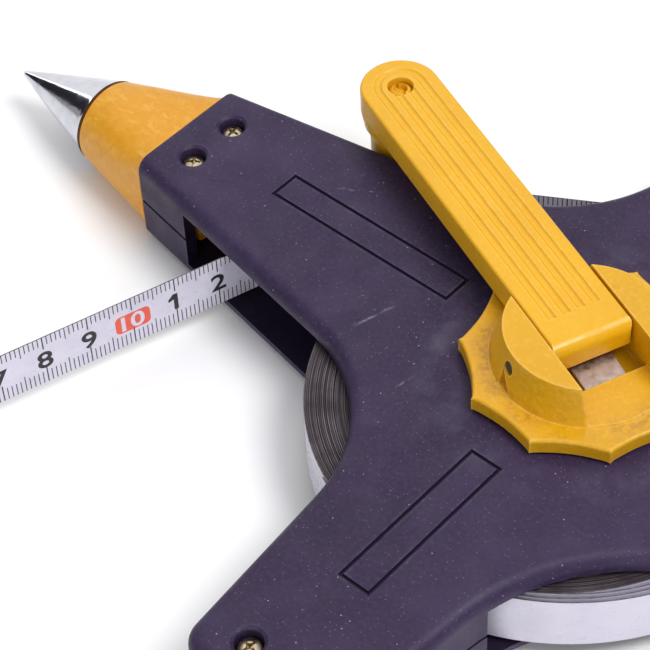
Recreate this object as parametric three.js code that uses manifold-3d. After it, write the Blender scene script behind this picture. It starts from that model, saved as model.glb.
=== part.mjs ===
// Open-reel surveyor's tape: a cross-shaped plastic frame of two half shells, a reel on the
// cross's centre, a folding crank with a grip, and a steel tape that leaves through one arm.
// Millimetres, +Z up. The origin is on the reel's axis, on the underside of the frame.
// The nose arm, which carries the ground spike, points along -X.

import * as THREE from 'three';
import { mergeVertices } from 'three/addons/utils/BufferGeometryUtils.js';
import Module from 'manifold-3d';

const wasm = await Module();
wasm.setup();

// ---------------------------------------------------------------- driving dimensions

const GAP = 0.3; // left between two pieces that touch
const RAD = Math.PI / 180;

const FRAME = {
  height: 22.5,
  wall: 3,
  plate: 3.75, // thickness of the top and bottom plates
  edge: 3, // radius of the rounded outer edges
  cornerRadius: 5.5,
  noseWaist: 34.5, // radius of the hollow between the nose arm and a plain arm
  plainWaist: 45, // the same between two plain arms
  coilRoom: 58, // the side walls start outside this radius
  slotEnd: 91.8, // far end of the nose arm's side slots
  reelBore: 8.6,
};

// Each arm ends at a distance from the reel's axis, and its sides lean in by the taper.
const NOSE_ARM = { end: 107.5, halfWidth: 15, taper: 9.76 * RAD };
const PLAIN_ARM = { end: 96, halfWidth: 16.4, taper: 4.86 * RAD };

const SCREW = { head: 2.5, headHeight: 1.7, shank: 1.35, post: 3.6, counterbore: 2.8 };
SCREW.seat = 18.9; // height of the counterbore's floor
SCREW.across = 6; // each side of the arm's middle
SCREW.fromEnd = 7.8;

const GROOVE = { halfWidth: 3.73, line: 0.8, depth: 0.5 };
GROOVE.nose = [31.6, 79.1];
GROOVE.arm = [29.6, 67.4];

const NOSE = { length: 24, ring: 9.7, bore: 3.3, nutRoom: 5.6, tailLength: 13.5, tongueLength: 21.5 };
NOSE.swell = 0.04; // how much fuller than a straight taper its middle is
NOSE.drift = [-1.2, -1.05]; // how far along Y and Z the ring lies off the arm's axis
const SPIKE = { length: 26.5, tip: 0.5, tang: 3, tangLength: 25, fullness: 0.95 };
SPIKE.drift = [-1, -0.1]; // the tip from the shoulder's centre, along Y and Z
const NUT = { radius: 5, thickness: 4 };

const TAPE = { width: 13, thickness: 0.3 };
const PACK = { outer: 47.1, inner: 29, offset: 7.6, direction: 240 * RAD };
const DRUM = { radius: 20.5, low: 5.2, high: 17.3, spigot: 8.2, top: 22.6, pivot: 6, pivotRoom: 10.4 };
const KEY = { width: 2.4, depth: 3.7 }; // holds the tape's inner end to the drum
const WASHERS = {
  lower: { inner: DRUM.pivot + 0.4, outer: 12, low: 4.05, high: 4.9 },
  upper: { inner: DRUM.spigot + 0.4, outer: 13.5, low: 17.6, high: 18.45 },
};

const EXIT = { normal: 162.4 * RAD, distance: 67.8 }; // the straight line of the pulled-out tape
const ENTRY = { normal: 120.5 * RAD, distance: 50 }; // the straight line from the coil
EXIT.tail = -35; // where the moving blade starts, measured along its line from its foot
EXIT.zeroMark = -164.6;
const ROLLER = { radius: 5, pin: 1.5 };

const DISC = { tips: 24.6, roots: 22.6, lobes: 10, tipAngle: 16.8 * RAD, low: 22.9, high: 26.5 };
const BOSS = { base: 18.3, top: 16.1, high: 34.5, slot: 8.85, floor: 26.8, pitFloor: 25.3 };
BOSS.pit = [-8.2, 9.2]; // where the spring's pit starts and ends, along the crank
BOSS.notch = { halfWidth: 1.9, height: 4.4 }; // the three-cornered opening under the crank's pin
const HUB_SCREW = { shank: 1.5, hole: 1.9, head: 3, seat: 23.9, seatRadius: 3.5 };

const CRANK = { direction: 158 * RAD, reach: 77, halfWidth: 8.5, low: 28.1, high: 34.4 };
CRANK.pinHeight = 31.25;
CRANK.pinRadius = 1.25;
CRANK.hubEnd = -3.1;
CRANK.collarDrop = 1.6; // how far the collar above the grip stands below the arm
CRANK.wall = 2; // left at each side of the hollows in the underside
CRANK.grooves = 1.6; // offset of the inner grooves; the outer ones are three times as far
const GRIP = { radius: 7.1, collar: 7.9, low: 3.4, stem: 1.9, head: 2.4 };
const SPRING = { halfWidth: 4.6, thickness: 0.6, from: -7.7, to: 8.6, bow: 0.5 };

const RING = { wire: 1, halfWidth: 9, reach: 21, loop: 2.3 };

const MID = FRAME.height / 2;

// ---------------------------------------------------------------- materials

const plastic = (color, roughness = 0.5) => new THREE.MeshStandardMaterial({ color, roughness });
const metal = (color, roughness) =>
  new THREE.MeshStandardMaterial({ color, roughness, metalness: 1 });

const NAVY = plastic(0x40385a, 0.55);
const YELLOW = plastic(0xf0b030, 0.4);
const BLACK = plastic(0x222226, 0.6);
const NYLON = plastic(0xe0ddd2, 0.5);
const PRINTED = plastic(0xd6d2e2, 0.35);
const EDGES = plastic(0x4a4543, 0.5);
const CHROME = metal(0xd8d8dc, 0.12);
const STEEL = metal(0xa0a0a4, 0.35);
const BRASSY = metal(0xb9a98a, 0.3);

// ---------------------------------------------------------------- solids and booleans

function solid(geometry) {
  const bare = geometry.index ? geometry.clone() : geometry;
  bare.deleteAttribute('normal');
  bare.deleteAttribute('uv');
  const merged = mergeVertices(bare, 1e-4);
  return new wasm.Manifold(
    new wasm.Mesh({
      numProp: 3,
      vertProperties: new Float32Array(merged.attributes.position.array),
      triVerts: new Uint32Array(merged.index.array),
    }),
  );
}

function surface(manifold) {
  const mesh = manifold.getMesh();
  const geometry = new THREE.BufferGeometry();
  geometry.setAttribute('position', new THREE.BufferAttribute(mesh.vertProperties, 3));
  geometry.setIndex(new THREE.BufferAttribute(mesh.triVerts, 1));
  geometry.computeVertexNormals();
  return geometry;
}

const join = (first, ...others) => others.reduce((sum, other) => sum.add(other), first);
const cut = (first, ...others) => others.reduce((rest, other) => rest.subtract(other), first);

// A block between two corners.
function block(low, high) {
  const size = high.map((value, axis) => value - low[axis]);
  const geometry = new THREE.BoxGeometry(...size);
  geometry.translate(...low.map((value, axis) => value + size[axis] / 2));
  return solid(geometry);
}

// A round rod along Z, or a cone where the two radii differ.
function rod(radius, low, high, { x = 0, y = 0, sides = 24, topRadius = radius } = {}) {
  const geometry = new THREE.CylinderGeometry(topRadius, radius, high - low, sides);
  geometry.rotateX(Math.PI / 2);
  geometry.translate(x, y, (low + high) / 2);
  return solid(geometry);
}

// A round rod along Y, between two values of y.
function crossRod(radius, low, high, { x = 0, z = 0, sides = 20 } = {}) {
  const geometry = new THREE.CylinderGeometry(radius, radius, high - low, sides);
  geometry.translate(x, (low + high) / 2, z);
  return solid(geometry);
}

// A plan outline raised between two heights, with rounded edges if edge is given.
function slab(shape, low, high, { edge = 0, steps = 3, curveSegments = 10 } = {}) {
  const geometry = new THREE.ExtrudeGeometry(shape, {
    depth: high - low - 2 * edge,
    bevelEnabled: edge > 0,
    bevelThickness: edge,
    bevelSize: edge,
    bevelOffset: -edge,
    bevelSegments: steps,
    curveSegments,
  });
  geometry.translate(0, 0, low + edge);
  return solid(geometry);
}

// A turned piece: radius and height pairs from the axis back to the axis.
function turned(profile, sides = 32) {
  const geometry = new THREE.LatheGeometry(profile.map(([r, z]) => new THREE.Vector2(r, z)), sides);
  geometry.rotateX(Math.PI / 2);
  return solid(geometry);
}

function polygon(points) {
  return new THREE.Shape(points.map(([x, y]) => new THREE.Vector2(x, y)));
}

function rectangle(x0, x1, y0, y1) {
  return polygon([[x0, y0], [x1, y0], [x1, y1], [x0, y1]]);
}

const polar = (radius, angle) => [radius * Math.cos(angle), radius * Math.sin(angle)];

// ---------------------------------------------------------------- frame

const ARMS = [0, 1, 2, 3].map((k) => ({
  angle: k * Math.PI / 2,
  isNose: k === 2,
  ...(k === 2 ? NOSE_ARM : PLAIN_ARM),
}));

// Half the width of an arm at a distance from the reel's axis.
function halfWidth(arm, distance) {
  return arm.halfWidth + (arm.end - distance) * Math.tan(arm.taper);
}

// Where two lines cross, each given by the angle of its normal and its distance from the axis.
function crossing(first, second) {
  const [ax, ay] = polar(1, first.normal);
  const [bx, by] = polar(1, second.normal);
  const det = ax * by - ay * bx;
  return [
    (first.distance * by - second.distance * ay) / det,
    (ax * second.distance - bx * first.distance) / det,
  ];
}

// The hollow between an arm and the next one: a circle that touches the sides of both.
function waist(arm, next) {
  const radius = arm.isNose || next.isNose ? FRAME.noseWaist : FRAME.plainWaist;
  const line = (of, side) => ({
    normal: of.angle + side * (Math.PI / 2 - of.taper),
    distance: halfWidth(of, 0) * Math.cos(of.taper) + radius,
  });
  const from = line(arm, 1);
  const to = line(next, -1);
  return { centre: crossing(from, to), radius, from: from.normal, to: to.normal };
}

// The cross, drawn inside its true outline by inset. The nose arm may run on past its end.
function crossOutline(inset, noseEnd = NOSE_ARM.end - inset) {
  const shape = new THREE.Shape();
  ARMS.forEach((arm, k) => {
    const end = arm.isNose ? noseEnd : arm.end - inset;
    const corner = arm.isNose ? 0 : FRAME.cornerRadius;
    const sideInset = inset / Math.cos(arm.taper);
    const across = (x) => halfWidth(arm, x) - sideInset;
    const at = (x, y) => [
      x * Math.cos(arm.angle) - y * Math.sin(arm.angle),
      x * Math.sin(arm.angle) + y * Math.cos(arm.angle),
    ];
    const start = at(end - corner, -across(end - corner));
    if (k === 0) shape.moveTo(...start);
    else shape.lineTo(...start);
    if (corner > 0) {
      shape.quadraticCurveTo(...at(end, -across(end)), ...at(end, corner - across(end)));
      shape.lineTo(...at(end, across(end) - corner));
      shape.quadraticCurveTo(...at(end, across(end)), ...at(end - corner, across(end - corner)));
    } else {
      shape.lineTo(...at(end, across(end)));
    }
    const { centre, radius, from, to } = waist(arm, ARMS[(k + 1) % ARMS.length]);
    shape.absarc(...centre, radius + inset, from + Math.PI, to + Math.PI, true);
  });
  return shape;
}

// Where the frame's screws stand, as options for a rod.
function screwPlaces() {
  const places = [];
  for (const arm of ARMS) {
    for (const side of [-1, 1]) {
      const along = arm.end - SCREW.fromEnd;
      const [ux, uy] = polar(1, arm.angle);
      const across = side * SCREW.across;
      places.push({ x: ux * along - uy * across, y: uy * along + ux * across, sides: 16 });
    }
  }
  return places;
}

// The engraved rectangle on each arm, as the thin frame that is cut away.
function engravedLines(low, high) {
  const lines = ARMS.map((arm) => {
    const [from, to] = arm.isNose ? GROOVE.nose : GROOVE.arm;
    const half = GROOVE.halfWidth;
    const outer = rectangle(from, to, -half, half);
    const inner = rectangle(from + GROOVE.line, to - GROOVE.line, GROOVE.line - half,
      half - GROOVE.line);
    const ring = cut(slab(outer, low, high), slab(inner, low - 1, high + 1));
    return ring.rotate([0, 0, arm.angle / RAD]);
  });
  return join(...lines);
}

// The rounded body of the whole frame, before it is split and hollowed.
function frameBody() {
  const overrun = NOSE_ARM.end + 2 * FRAME.edge;
  const outline = crossOutline(0, overrun);
  const body = slab(outline, 0, FRAME.height, { edge: FRAME.edge, steps: 2, curveSegments: 5 });
  return cut(body, block([-150, -40, -5], [-NOSE_ARM.end, 40, 30]));
}

// Everything that the tape and the reel need left empty, between the two plates.
function frameRoom() {
  const low = FRAME.plate;
  const high = FRAME.height - FRAME.plate;
  const cavity = slab(crossOutline(FRAME.wall, NOSE_ARM.end + 10), low, high, { curveSegments: 4 });
  const coil = rod(FRAME.coilRoom, low, high, { sides: 48 });
  const slots = block([-FRAME.slotEnd, -40, low], [-FRAME.coilRoom + 12, 40, high]);
  return join(cavity, coil, slots);
}

function upperShell() {
  const split = MID + GAP / 2;
  let shell = cut(frameBody(), frameRoom(), block([-200, -200, -5], [200, 200, split]));
  for (const place of screwPlaces()) {
    shell = shell.add(rod(SCREW.post, split, FRAME.height - FRAME.plate + 0.5, place));
  }
  for (const place of screwPlaces()) {
    const chamfer = 0.4;
    shell = shell.subtract(rod(SCREW.shank + GAP, split - 1, FRAME.height, place));
    shell = shell.subtract(rod(SCREW.counterbore, SCREW.seat, FRAME.height + 1, place));
    shell = shell.subtract(
      rod(SCREW.counterbore - 0.1, FRAME.height - chamfer, FRAME.height + chamfer, {
        ...place,
        topRadius: SCREW.counterbore + 2 * chamfer,
      }),
    );
  }
  shell = shell.subtract(rod(FRAME.reelBore, MID, FRAME.height + 1, { sides: 40 }));
  return surface(shell.subtract(engravedLines(FRAME.height - GROOVE.depth, FRAME.height + 1)));
}

function lowerShell() {
  const split = MID - GAP / 2;
  let shell = cut(frameBody(), frameRoom(), block([-200, -200, split], [200, 200, 40]));
  for (const place of screwPlaces()) {
    shell = shell.add(rod(SCREW.post, FRAME.plate - 0.5, split, place));
  }
  for (const place of screwPlaces()) {
    shell = shell.subtract(rod(SCREW.shank + GAP, 5, split + 1, place));
  }
  shell = shell.add(rod(DRUM.pivot, FRAME.plate - 0.5, 10, { sides: 32 }));
  return surface(shell.subtract(engravedLines(-1, GROOVE.depth)));
}

// A pan-head screw with a cross recess, standing on its seat.
function frameScrew() {
  const top = SCREW.seat + GAP + SCREW.headHeight;
  const profile = [
    [0, 6],
    [SCREW.shank, 7],
    [SCREW.shank, SCREW.seat + GAP],
    [SCREW.head, SCREW.seat + GAP],
    [SCREW.head, top - 0.8],
    [SCREW.head * 0.75, top - 0.15],
    [0, top],
  ];
  const arm = 1.4;
  const half = 0.35;
  const cross = join(
    block([-arm, -half, top - 0.8], [arm, half, top + 1]),
    block([-half, -arm, top - 0.8], [half, arm, top + 1]),
  );
  return surface(cut(turned(profile, 12), cross));
}

// ---------------------------------------------------------------- nose

// The nose's cross-section blends from the frame's rounded rectangle to the spike's circle.
function noseSection(share, angle) {
  const radius = NOSE.ring;
  const swell = 1 + NOSE.swell * Math.sin(Math.PI * share);
  const half = THREE.MathUtils.lerp(NOSE_ARM.halfWidth, radius, share) * swell;
  const tall = THREE.MathUtils.lerp(MID - 0.02, radius, share) * swell;
  const tallest = MID - 0.02 + NOSE.drift[1] * share; // so that it never dips under the frame
  const power = THREE.MathUtils.lerp(0.32, 1, Math.sqrt(share));
  const nothing = 1e-4; // a power below one would magnify the rounding of a zero
  const round = (value) =>
    Math.abs(value) < nothing ? 0 : Math.sign(value) * Math.abs(value) ** power;
  return [Math.min(half, NOSE_ARM.halfWidth) * round(Math.cos(angle)),
    Math.min(tall, tallest) * round(Math.sin(angle))];
}

// The nose's axis drifts off the arm's, evenly from the arm's end to the ring, and the spike's
// goes on from there to its tip.
function drifted(geometry) {
  const position = geometry.attributes.position;
  for (let i = 0; i < position.count; i += 1) {
    const beyond = -NOSE_ARM.end - position.getX(i);
    const nose = THREE.MathUtils.clamp(beyond / NOSE.length, 0, 1);
    const spike = THREE.MathUtils.clamp((beyond - NOSE.length) / SPIKE.length, 0, 1);
    position.setY(i, position.getY(i) + NOSE.drift[0] * nose + SPIKE.drift[0] * spike);
    position.setZ(i, position.getZ(i) + NOSE.drift[1] * nose + SPIKE.drift[1] * spike);
  }
  return geometry;
}

// A rod along the nose's axis, between two places along X.
function noseRod(radius, from, to) {
  const geometry = new THREE.CylinderGeometry(radius, radius, to - from, 24, 12);
  geometry.rotateZ(Math.PI / 2);
  geometry.translate((from + to) / 2, 0, MID);
  return solid(drifted(geometry));
}

function noseBody() {
  const rings = 6;
  const geometry = new THREE.CylinderGeometry(1, 1, 1, 32, rings);
  const position = geometry.attributes.position;
  const from = -NOSE_ARM.end - GAP;
  for (let i = 0; i < position.count; i += 1) {
    const share = 0.5 + position.getY(i);
    const angle = Math.atan2(position.getZ(i), position.getX(i));
    const spread = Math.hypot(position.getX(i), position.getZ(i));
    const [y, z] = noseSection(share, angle);
    position.setXYZ(i, from - share * NOSE.length, y * spread, MID + z * spread);
  }
  return solid(drifted(geometry));
}

function noseInsert() {
  const base = -NOSE_ARM.end;
  const low = FRAME.plate + 0.45;
  const high = FRAME.height - low;
  const halfTail = NOSE_ARM.halfWidth - FRAME.wall - 0.5;
  const tail = block([base - 1, -halfTail, low], [base + NOSE.tailLength, halfTail, high]);
  const tongue = block([base + 5, 1 - halfTail, MID - 1], [base + NOSE.tongueLength, halfTail - 1, high]);
  let insert = join(noseBody(), tail, tongue);
  insert = cut(
    insert,
    noseRod(NOSE.bore, base - NOSE.length - 5, base + 2),
    noseRod(NOSE.nutRoom, base - 2.5, base + NOSE.tongueLength + 1),
  );
  for (const place of screwPlaces().filter(({ x }) => x < -PLAIN_ARM.end)) {
    insert = insert.subtract(rod(SCREW.post + GAP, 0, FRAME.height, place));
  }
  return surface(insert);
}

// Turned about Z with its tip down, then laid along -X. Its tang goes back into the nose.
function groundSpike() {
  const cone = [];
  const steps = 6;
  for (let i = 0; i <= steps; i += 1) {
    const share = i / steps;
    const radius = SPIKE.tip + (NOSE.ring - SPIKE.tip) * share ** SPIKE.fullness;
    cone.push(new THREE.Vector2(radius, -SPIKE.length * (1 - share)));
  }
  const { tang, tangLength } = SPIKE;
  const tip = new THREE.Vector2(0, -SPIKE.length - SPIKE.tip / 2);
  const profile = [tip, ...cone];
  [[tang, 0], [tang, tangLength], [tang - 0.5, tangLength + 0.5], [0, tangLength + 0.5]]
    .forEach(([radius, height]) => profile.push(new THREE.Vector2(radius, height)));
  const geometry = new THREE.LatheGeometry(profile, 32);
  geometry.rotateX(Math.PI / 2);
  geometry.rotateY(Math.PI / 2);
  geometry.translate(-NOSE_ARM.end - NOSE.length - 2 * GAP, 0, MID);
  return surface(solid(drifted(geometry)));
}

function spikeNut() {
  const nut = rod(NUT.radius, 0, NUT.thickness, { sides: 6 });
  return surface(cut(nut, rod(SPIKE.tang + GAP, -1, NUT.thickness + 1)));
}

// ---------------------------------------------------------------- reel and tape

function reelDrum() {
  const drum = turned([
    [0, DRUM.low], [DRUM.radius, DRUM.low], [DRUM.radius, DRUM.high],
    [DRUM.spigot, DRUM.high], [DRUM.spigot, DRUM.top], [0, DRUM.top],
  ], 48);
  const half = KEY.width / 2 + GAP;
  const keySlot = block(
    [DRUM.radius - KEY.depth - GAP, -half, DRUM.low - 1],
    [DRUM.radius + 1, half, DRUM.high + 1],
  );
  return surface(cut(
    drum,
    rod(DRUM.pivot + GAP, DRUM.low - 1, DRUM.pivotRoom, { sides: 32 }),
    rod(HUB_SCREW.hole, 12, DRUM.top + 1, { sides: 16 }),
    keySlot,
  ));
}

function anchorKey() {
  const half = KEY.width / 2;
  const low = DRUM.low + GAP;
  const high = DRUM.high - GAP;
  return surface(block([DRUM.radius - KEY.depth, -half, low], [DRUM.radius, half, high]));
}

function washer({ inner, outer, low, high }) {
  return surface(cut(rod(outer, low, high, { sides: 32 }), rod(inner, low - 1, high + 1, { sides: 32 })));
}

// The wound tape. It is wound loosely, so it lies off the reel's axis.
function tapePack() {
  const [x, y] = polar(PACK.offset, PACK.direction);
  const low = MID - TAPE.width / 2;
  const high = MID + TAPE.width / 2;
  return surface(cut(
    rod(PACK.outer, low, high, { x, y, sides: 64 }),
    rod(PACK.inner, low - 1, high + 1, { x, y, sides: 48 }),
  ));
}

// A strip of tape standing on its edge along a plan curve, given as a list of points.
function strip(points) {
  const left = [];
  const right = [];
  points.forEach(([x, y], i) => {
    const [ax, ay] = points[Math.max(i - 1, 0)];
    const [bx, by] = points[Math.min(i + 1, points.length - 1)];
    const length = Math.hypot(bx - ax, by - ay);
    const nx = -(by - ay) / length * TAPE.thickness / 2;
    const ny = (bx - ax) / length * TAPE.thickness / 2;
    left.push([x + nx, y + ny]);
    right.push([x - nx, y - ny]);
  });
  const outline = polygon([...right, ...left.reverse()]);
  return slab(outline, MID - TAPE.width / 2, MID + TAPE.width / 2);
}

// Points of an arc about a centre, end points included.
function arc([cx, cy], radius, from, to, steps) {
  return Array.from({ length: steps + 1 }, (_, i) => {
    const [x, y] = polar(radius, from + (to - from) * i / steps);
    return [cx + x, cy + y];
  });
}

// The roller touches the lead on its way from the coil's line to the blade's line.
const LEAD_OFFSET = TAPE.thickness + GAP; // the lead runs beside the blade, nearer the reel
const ROLLER_BEND = ROLLER.radius + GAP + TAPE.thickness / 2;

function rollerCentre() {
  return crossing(
    { normal: EXIT.normal, distance: EXIT.distance - LEAD_OFFSET - ROLLER_BEND },
    { normal: ENTRY.normal, distance: ENTRY.distance - ROLLER_BEND },
  );
}

// From the coil, over the roller, to the place where the straight blade starts.
function tapeLead() {
  const hidden = 66 * RAD; // it starts beside the coil, inside the arm along +Y
  const [fx, fy] = polar(EXIT.distance - LEAD_OFFSET, EXIT.normal);
  const [dx, dy] = polar(EXIT.tail - GAP, EXIT.normal - Math.PI / 2);
  return surface(strip([
    ...arc([0, 0], ENTRY.distance, hidden, ENTRY.normal, 10),
    ...arc(rollerCentre(), ROLLER_BEND, ENTRY.normal, EXIT.normal, 7),
    [fx + dx, fy + dy],
  ]));
}

// The loose outermost turn, which turns with the reel.
function tapeOuterWrap() {
  const from = 245 * RAD;
  const to = 470 * RAD;
  const steps = 36;
  const outer = 55.1;
  const inner = ENTRY.distance - 0.7;
  const settle = 115 * RAD; // it has come in to its inner radius after this much turn
  const points = Array.from({ length: steps + 1 }, (_, i) => {
    const angle = from + (to - from) * i / steps;
    const share = Math.min((angle - from) / settle, 1);
    const ease = 0.5 + 0.5 * Math.cos(Math.PI * share);
    return polar(inner + (outer - inner) * ease, angle);
  });
  return surface(strip(points));
}

// The pulled-out blade, along its own -Y axis from its tail at y = 0.
function tapeBlade() {
  const length = EXIT.tail - EXIT.zeroMark;
  const blade = strip([[0, -length], [0, 0]]);
  return surface(cut(blade, clipRivetHole(length - 5)));
}

function clipRivetHole(distance) {
  const geometry = new THREE.CylinderGeometry(1.5, 1.5, 6, 16);
  geometry.rotateZ(Math.PI / 2);
  geometry.translate(0, -distance, MID);
  return solid(geometry);
}

// The folded steel clip at the free end: two leaves and the loop that holds the ring.
function endClip() {
  const length = EXIT.tail - EXIT.zeroMark;
  const leaf = 0.4;
  const inside = TAPE.thickness / 2 + GAP;
  const half = TAPE.width / 2;
  const leaves = join(
    block([inside, -length - 2, MID - half], [inside + leaf, 10 - length, MID + half]),
    block([-inside - leaf, -length - 2, MID - half], [-inside, 10 - length, MID + half]),
    block([-inside - leaf, -length - 2, MID - half], [inside + leaf, -length - GAP, MID + half]),
  );
  const y = -length - 1 - RING.loop;
  const loop = rod(RING.loop, MID - half, MID + half, { y, sides: 20 });
  const bore = rod(RING.wire + GAP, 0, 30, { y, sides: 16 });
  return surface(cut(join(leaves, loop), bore, clipRivetHole(length - 5)));
}

function endRivet() {
  const y = -(EXIT.tail - EXIT.zeroMark - 5);
  const outside = TAPE.thickness / 2 + GAP + 0.4 + GAP;
  const along = (radius, from, to) => {
    const geometry = new THREE.CylinderGeometry(radius, radius, to - from, 16);
    geometry.rotateZ(Math.PI / 2);
    geometry.translate((from + to) / 2, y, MID);
    return solid(geometry);
  };
  return surface(join(
    along(1.2, -outside, outside),
    along(2.1, outside - 0.01, outside + 0.6),
    along(2.1, -outside - 0.6, 0.01 - outside),
  ));
}

// A D of round wire. Its straight bar lies in the clip's loop, along Z.
function endRing() {
  const bar = 7.8; // half the length of the straight bar
  const corners = [[0, -bar], [0, bar], [-RING.reach * 0.45, RING.halfWidth + 1],
    [-RING.reach * 0.85, RING.halfWidth * 0.72], [-RING.reach, 0],
    [-RING.reach * 0.85, -RING.halfWidth * 0.72], [-RING.reach * 0.45, -RING.halfWidth - 1]];
  const pieces = [];
  corners.forEach(([y0, z0], i) => {
    const [y1, z1] = corners[(i + 1) % corners.length];
    const length = Math.hypot(y1 - y0, z1 - z0);
    const wire = new THREE.CylinderGeometry(RING.wire, RING.wire, length, 8);
    wire.rotateX(Math.atan2(z1 - z0, y1 - y0));
    wire.translate(0, (y0 + y1) / 2, (z0 + z1) / 2);
    const knuckle = new THREE.SphereGeometry(RING.wire * 1.02, 8, 6);
    knuckle.translate(0, y0, z0);
    pieces.push(solid(wire), solid(knuckle));
  });
  return surface(join(...pieces));
}

function guideRoller() {
  const low = FRAME.plate + 0.5;
  const high = FRAME.height - low;
  return surface(cut(
    rod(ROLLER.radius, low, high, { sides: 32 }),
    rod(ROLLER.pin + 0.35, low - 1, high + 1),
  ));
}

function guidePost(radius) {
  return surface(rod(radius, FRAME.plate + GAP, FRAME.height - FRAME.plate - GAP, { sides: 20 }));
}

// ---------------------------------------------------------------- hub and crank

// The scalloped edge: concave arcs that meet in blunt tips.
function scallopOutline() {
  const shape = new THREE.Shape();
  const step = 2 * Math.PI / DISC.lobes;
  const blunt = 0.045; // half the angle that each tip takes
  for (let i = 0; i < DISC.lobes; i += 1) {
    const tip = DISC.tipAngle + i * step;
    const start = polar(DISC.tips, tip - blunt);
    if (i === 0) shape.moveTo(...start);
    shape.lineTo(...polar(DISC.tips, tip + blunt));
    const control = polar(2 * DISC.roots - DISC.tips, tip + step / 2);
    shape.quadraticCurveTo(...control, ...polar(DISC.tips, tip + step - blunt));
  }
  return shape;
}

// The disc, the two-winged boss, the slot that takes the crank and the pit for the spring.
function hubDisc() {
  const disc = slab(scallopOutline(), DISC.low, DISC.high, { edge: 0.4, steps: 1, curveSegments: 7 });
  const rise = DISC.high - 0.5;
  const boss = rod(BOSS.base, rise, BOSS.high, { topRadius: BOSS.top, sides: 64 });
  const slot = block([-30, -BOSS.slot, BOSS.floor], [30, BOSS.slot, BOSS.high + 1]);
  const [pitFrom, pitTo] = BOSS.pit;
  const pit = block([pitFrom, -BOSS.slot, BOSS.pitFloor], [pitTo, BOSS.slot, BOSS.floor + 1]);
  const pinHole = crossRod(CRANK.pinRadius + GAP, -30, 30, { z: CRANK.pinHeight });
  const { halfWidth, height } = BOSS.notch;
  const triangle = polygon([[-halfWidth, 0], [halfWidth, 0], [0, height]]);
  const notch = slab(triangle, BOSS.top - 0.4, BOSS.base + 2);
  const notches = [1, -1].map((side) =>
    notch.rotate([90, 0, 0]).mirror([0, side > 0 ? 1 : 0, 0]).translate([0, 0, DISC.high + 0.4]));
  const screwSeat = rod(HUB_SCREW.seatRadius, HUB_SCREW.seat, BOSS.pitFloor + 1);
  const screwHole = rod(HUB_SCREW.hole, DISC.low - 1, HUB_SCREW.seat + 1, { sides: 16 });
  return surface(cut(join(disc, boss), slot, pit, pinHole, ...notches, screwSeat, screwHole));
}

function hubScrew() {
  const { shank, head } = HUB_SCREW;
  const under = HUB_SCREW.seat + GAP;
  return surface(turned([
    [0, 13], [shank, 14], [shank, under], [head, under],
    [head, under + 0.5], [head - 0.8, under + 0.9], [0, under + 0.9],
  ], 16));
}

// A bowed leaf of spring steel in the pit, which holds the crank open or shut.
function leafSpring() {
  const shape = new THREE.Shape();
  const low = BOSS.pitFloor + GAP;
  const middle = (SPRING.from + SPRING.to) / 2;
  const crown = low + 2 * SPRING.bow;
  shape.moveTo(SPRING.from, low);
  shape.quadraticCurveTo(middle, crown, SPRING.to, low);
  shape.lineTo(SPRING.to, low + SPRING.thickness);
  shape.quadraticCurveTo(middle, crown + SPRING.thickness, SPRING.from, low + SPRING.thickness);
  const leaf = slab(shape, -SPRING.halfWidth, SPRING.halfWidth, { curveSegments: 6 });
  return surface(leaf.rotate([90, 0, 0]));
}

// The crank in its own frame: X out along the arm, from the hub pin's axis.
function crankArm() {
  const { reach, halfWidth: half, low, high } = CRANK;
  const plan = new THREE.Shape();
  plan.moveTo(CRANK.hubEnd, -half);
  plan.lineTo(reach, -half);
  plan.absarc(reach, 0, half, -Math.PI / 2, Math.PI / 2, false);
  plan.lineTo(CRANK.hubEnd, half);
  const bar = slab(plan, low, high, { edge: 0.5, steps: 2, curveSegments: 12 });
  const nose = crossRod(1, -half, half, { sides: 16 });
  const roundedEnd = join(...[low + 1, high - 1].map((z) => nose.translate([CRANK.hubEnd + 1, 0, z])));
  const square = block([CRANK.hubEnd - 1, -20, low - 1], [CRANK.hubEnd + 1, 20, high + 1]);
  const middleStrip = block([CRANK.hubEnd, -half, low + 1], [CRANK.hubEnd + 2, half, high - 1]);
  const collar = rod(half - 0.2, low - CRANK.collarDrop, low + 1, { x: reach, sides: 40 });
  return surface(cut(
    join(cut(bar, square), roundedEnd, middleStrip, collar),
    crankGrooves(),
    ...crankPockets(),
    crossRod(CRANK.pinRadius + GAP, -20, 20, { z: CRANK.pinHeight }),
    rod(GRIP.stem + GAP, 20, 40, { x: reach, sides: 20 }),
    rod(2.8, high - 2.2, high + 1, { x: reach, sides: 24 }),
  ));
}

// Four grooves along the top. The outer two run round the end and join.
function crankGrooves() {
  const width = 1.3;
  const depth = 0.45;
  const start = 4.6;
  const shortOfEnd = 2.2; // the inner two stop this far before the grip's axis
  const inner = CRANK.grooves;
  const outer = 3 * inner;
  const low = CRANK.high - depth;
  const straight = [-outer, -inner, inner, outer].map((y) =>
    block([start, y - width / 2, low],
      [CRANK.reach - (Math.abs(y) < outer ? shortOfEnd : 0), y + width / 2, 40]));
  const round = { x: CRANK.reach, sides: 32 };
  const ring = cut(rod(outer + width / 2, low, 40, round), rod(outer - width / 2, low - 1, 41, round));
  const end = ring.intersect(block([CRANK.reach, -20, 0], [CRANK.reach + 20, 20, 50]));
  return join(...straight, end);
}

// The hollows moulded into the underside, with cross ribs left between them.
function crankPockets() {
  const side = CRANK.halfWidth - CRANK.wall;
  const from = 11;
  const to = CRANK.reach - 9;
  const count = 5;
  const pitch = (to - from) / count;
  const halfRib = 0.6;
  const depth = 3.6;
  return Array.from({ length: count }, (_, i) => {
    const start = from + i * pitch;
    return block([start + halfRib, -side, CRANK.low - 1],
      [start + pitch - halfRib, side, CRANK.low + depth]);
  });
}

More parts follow.
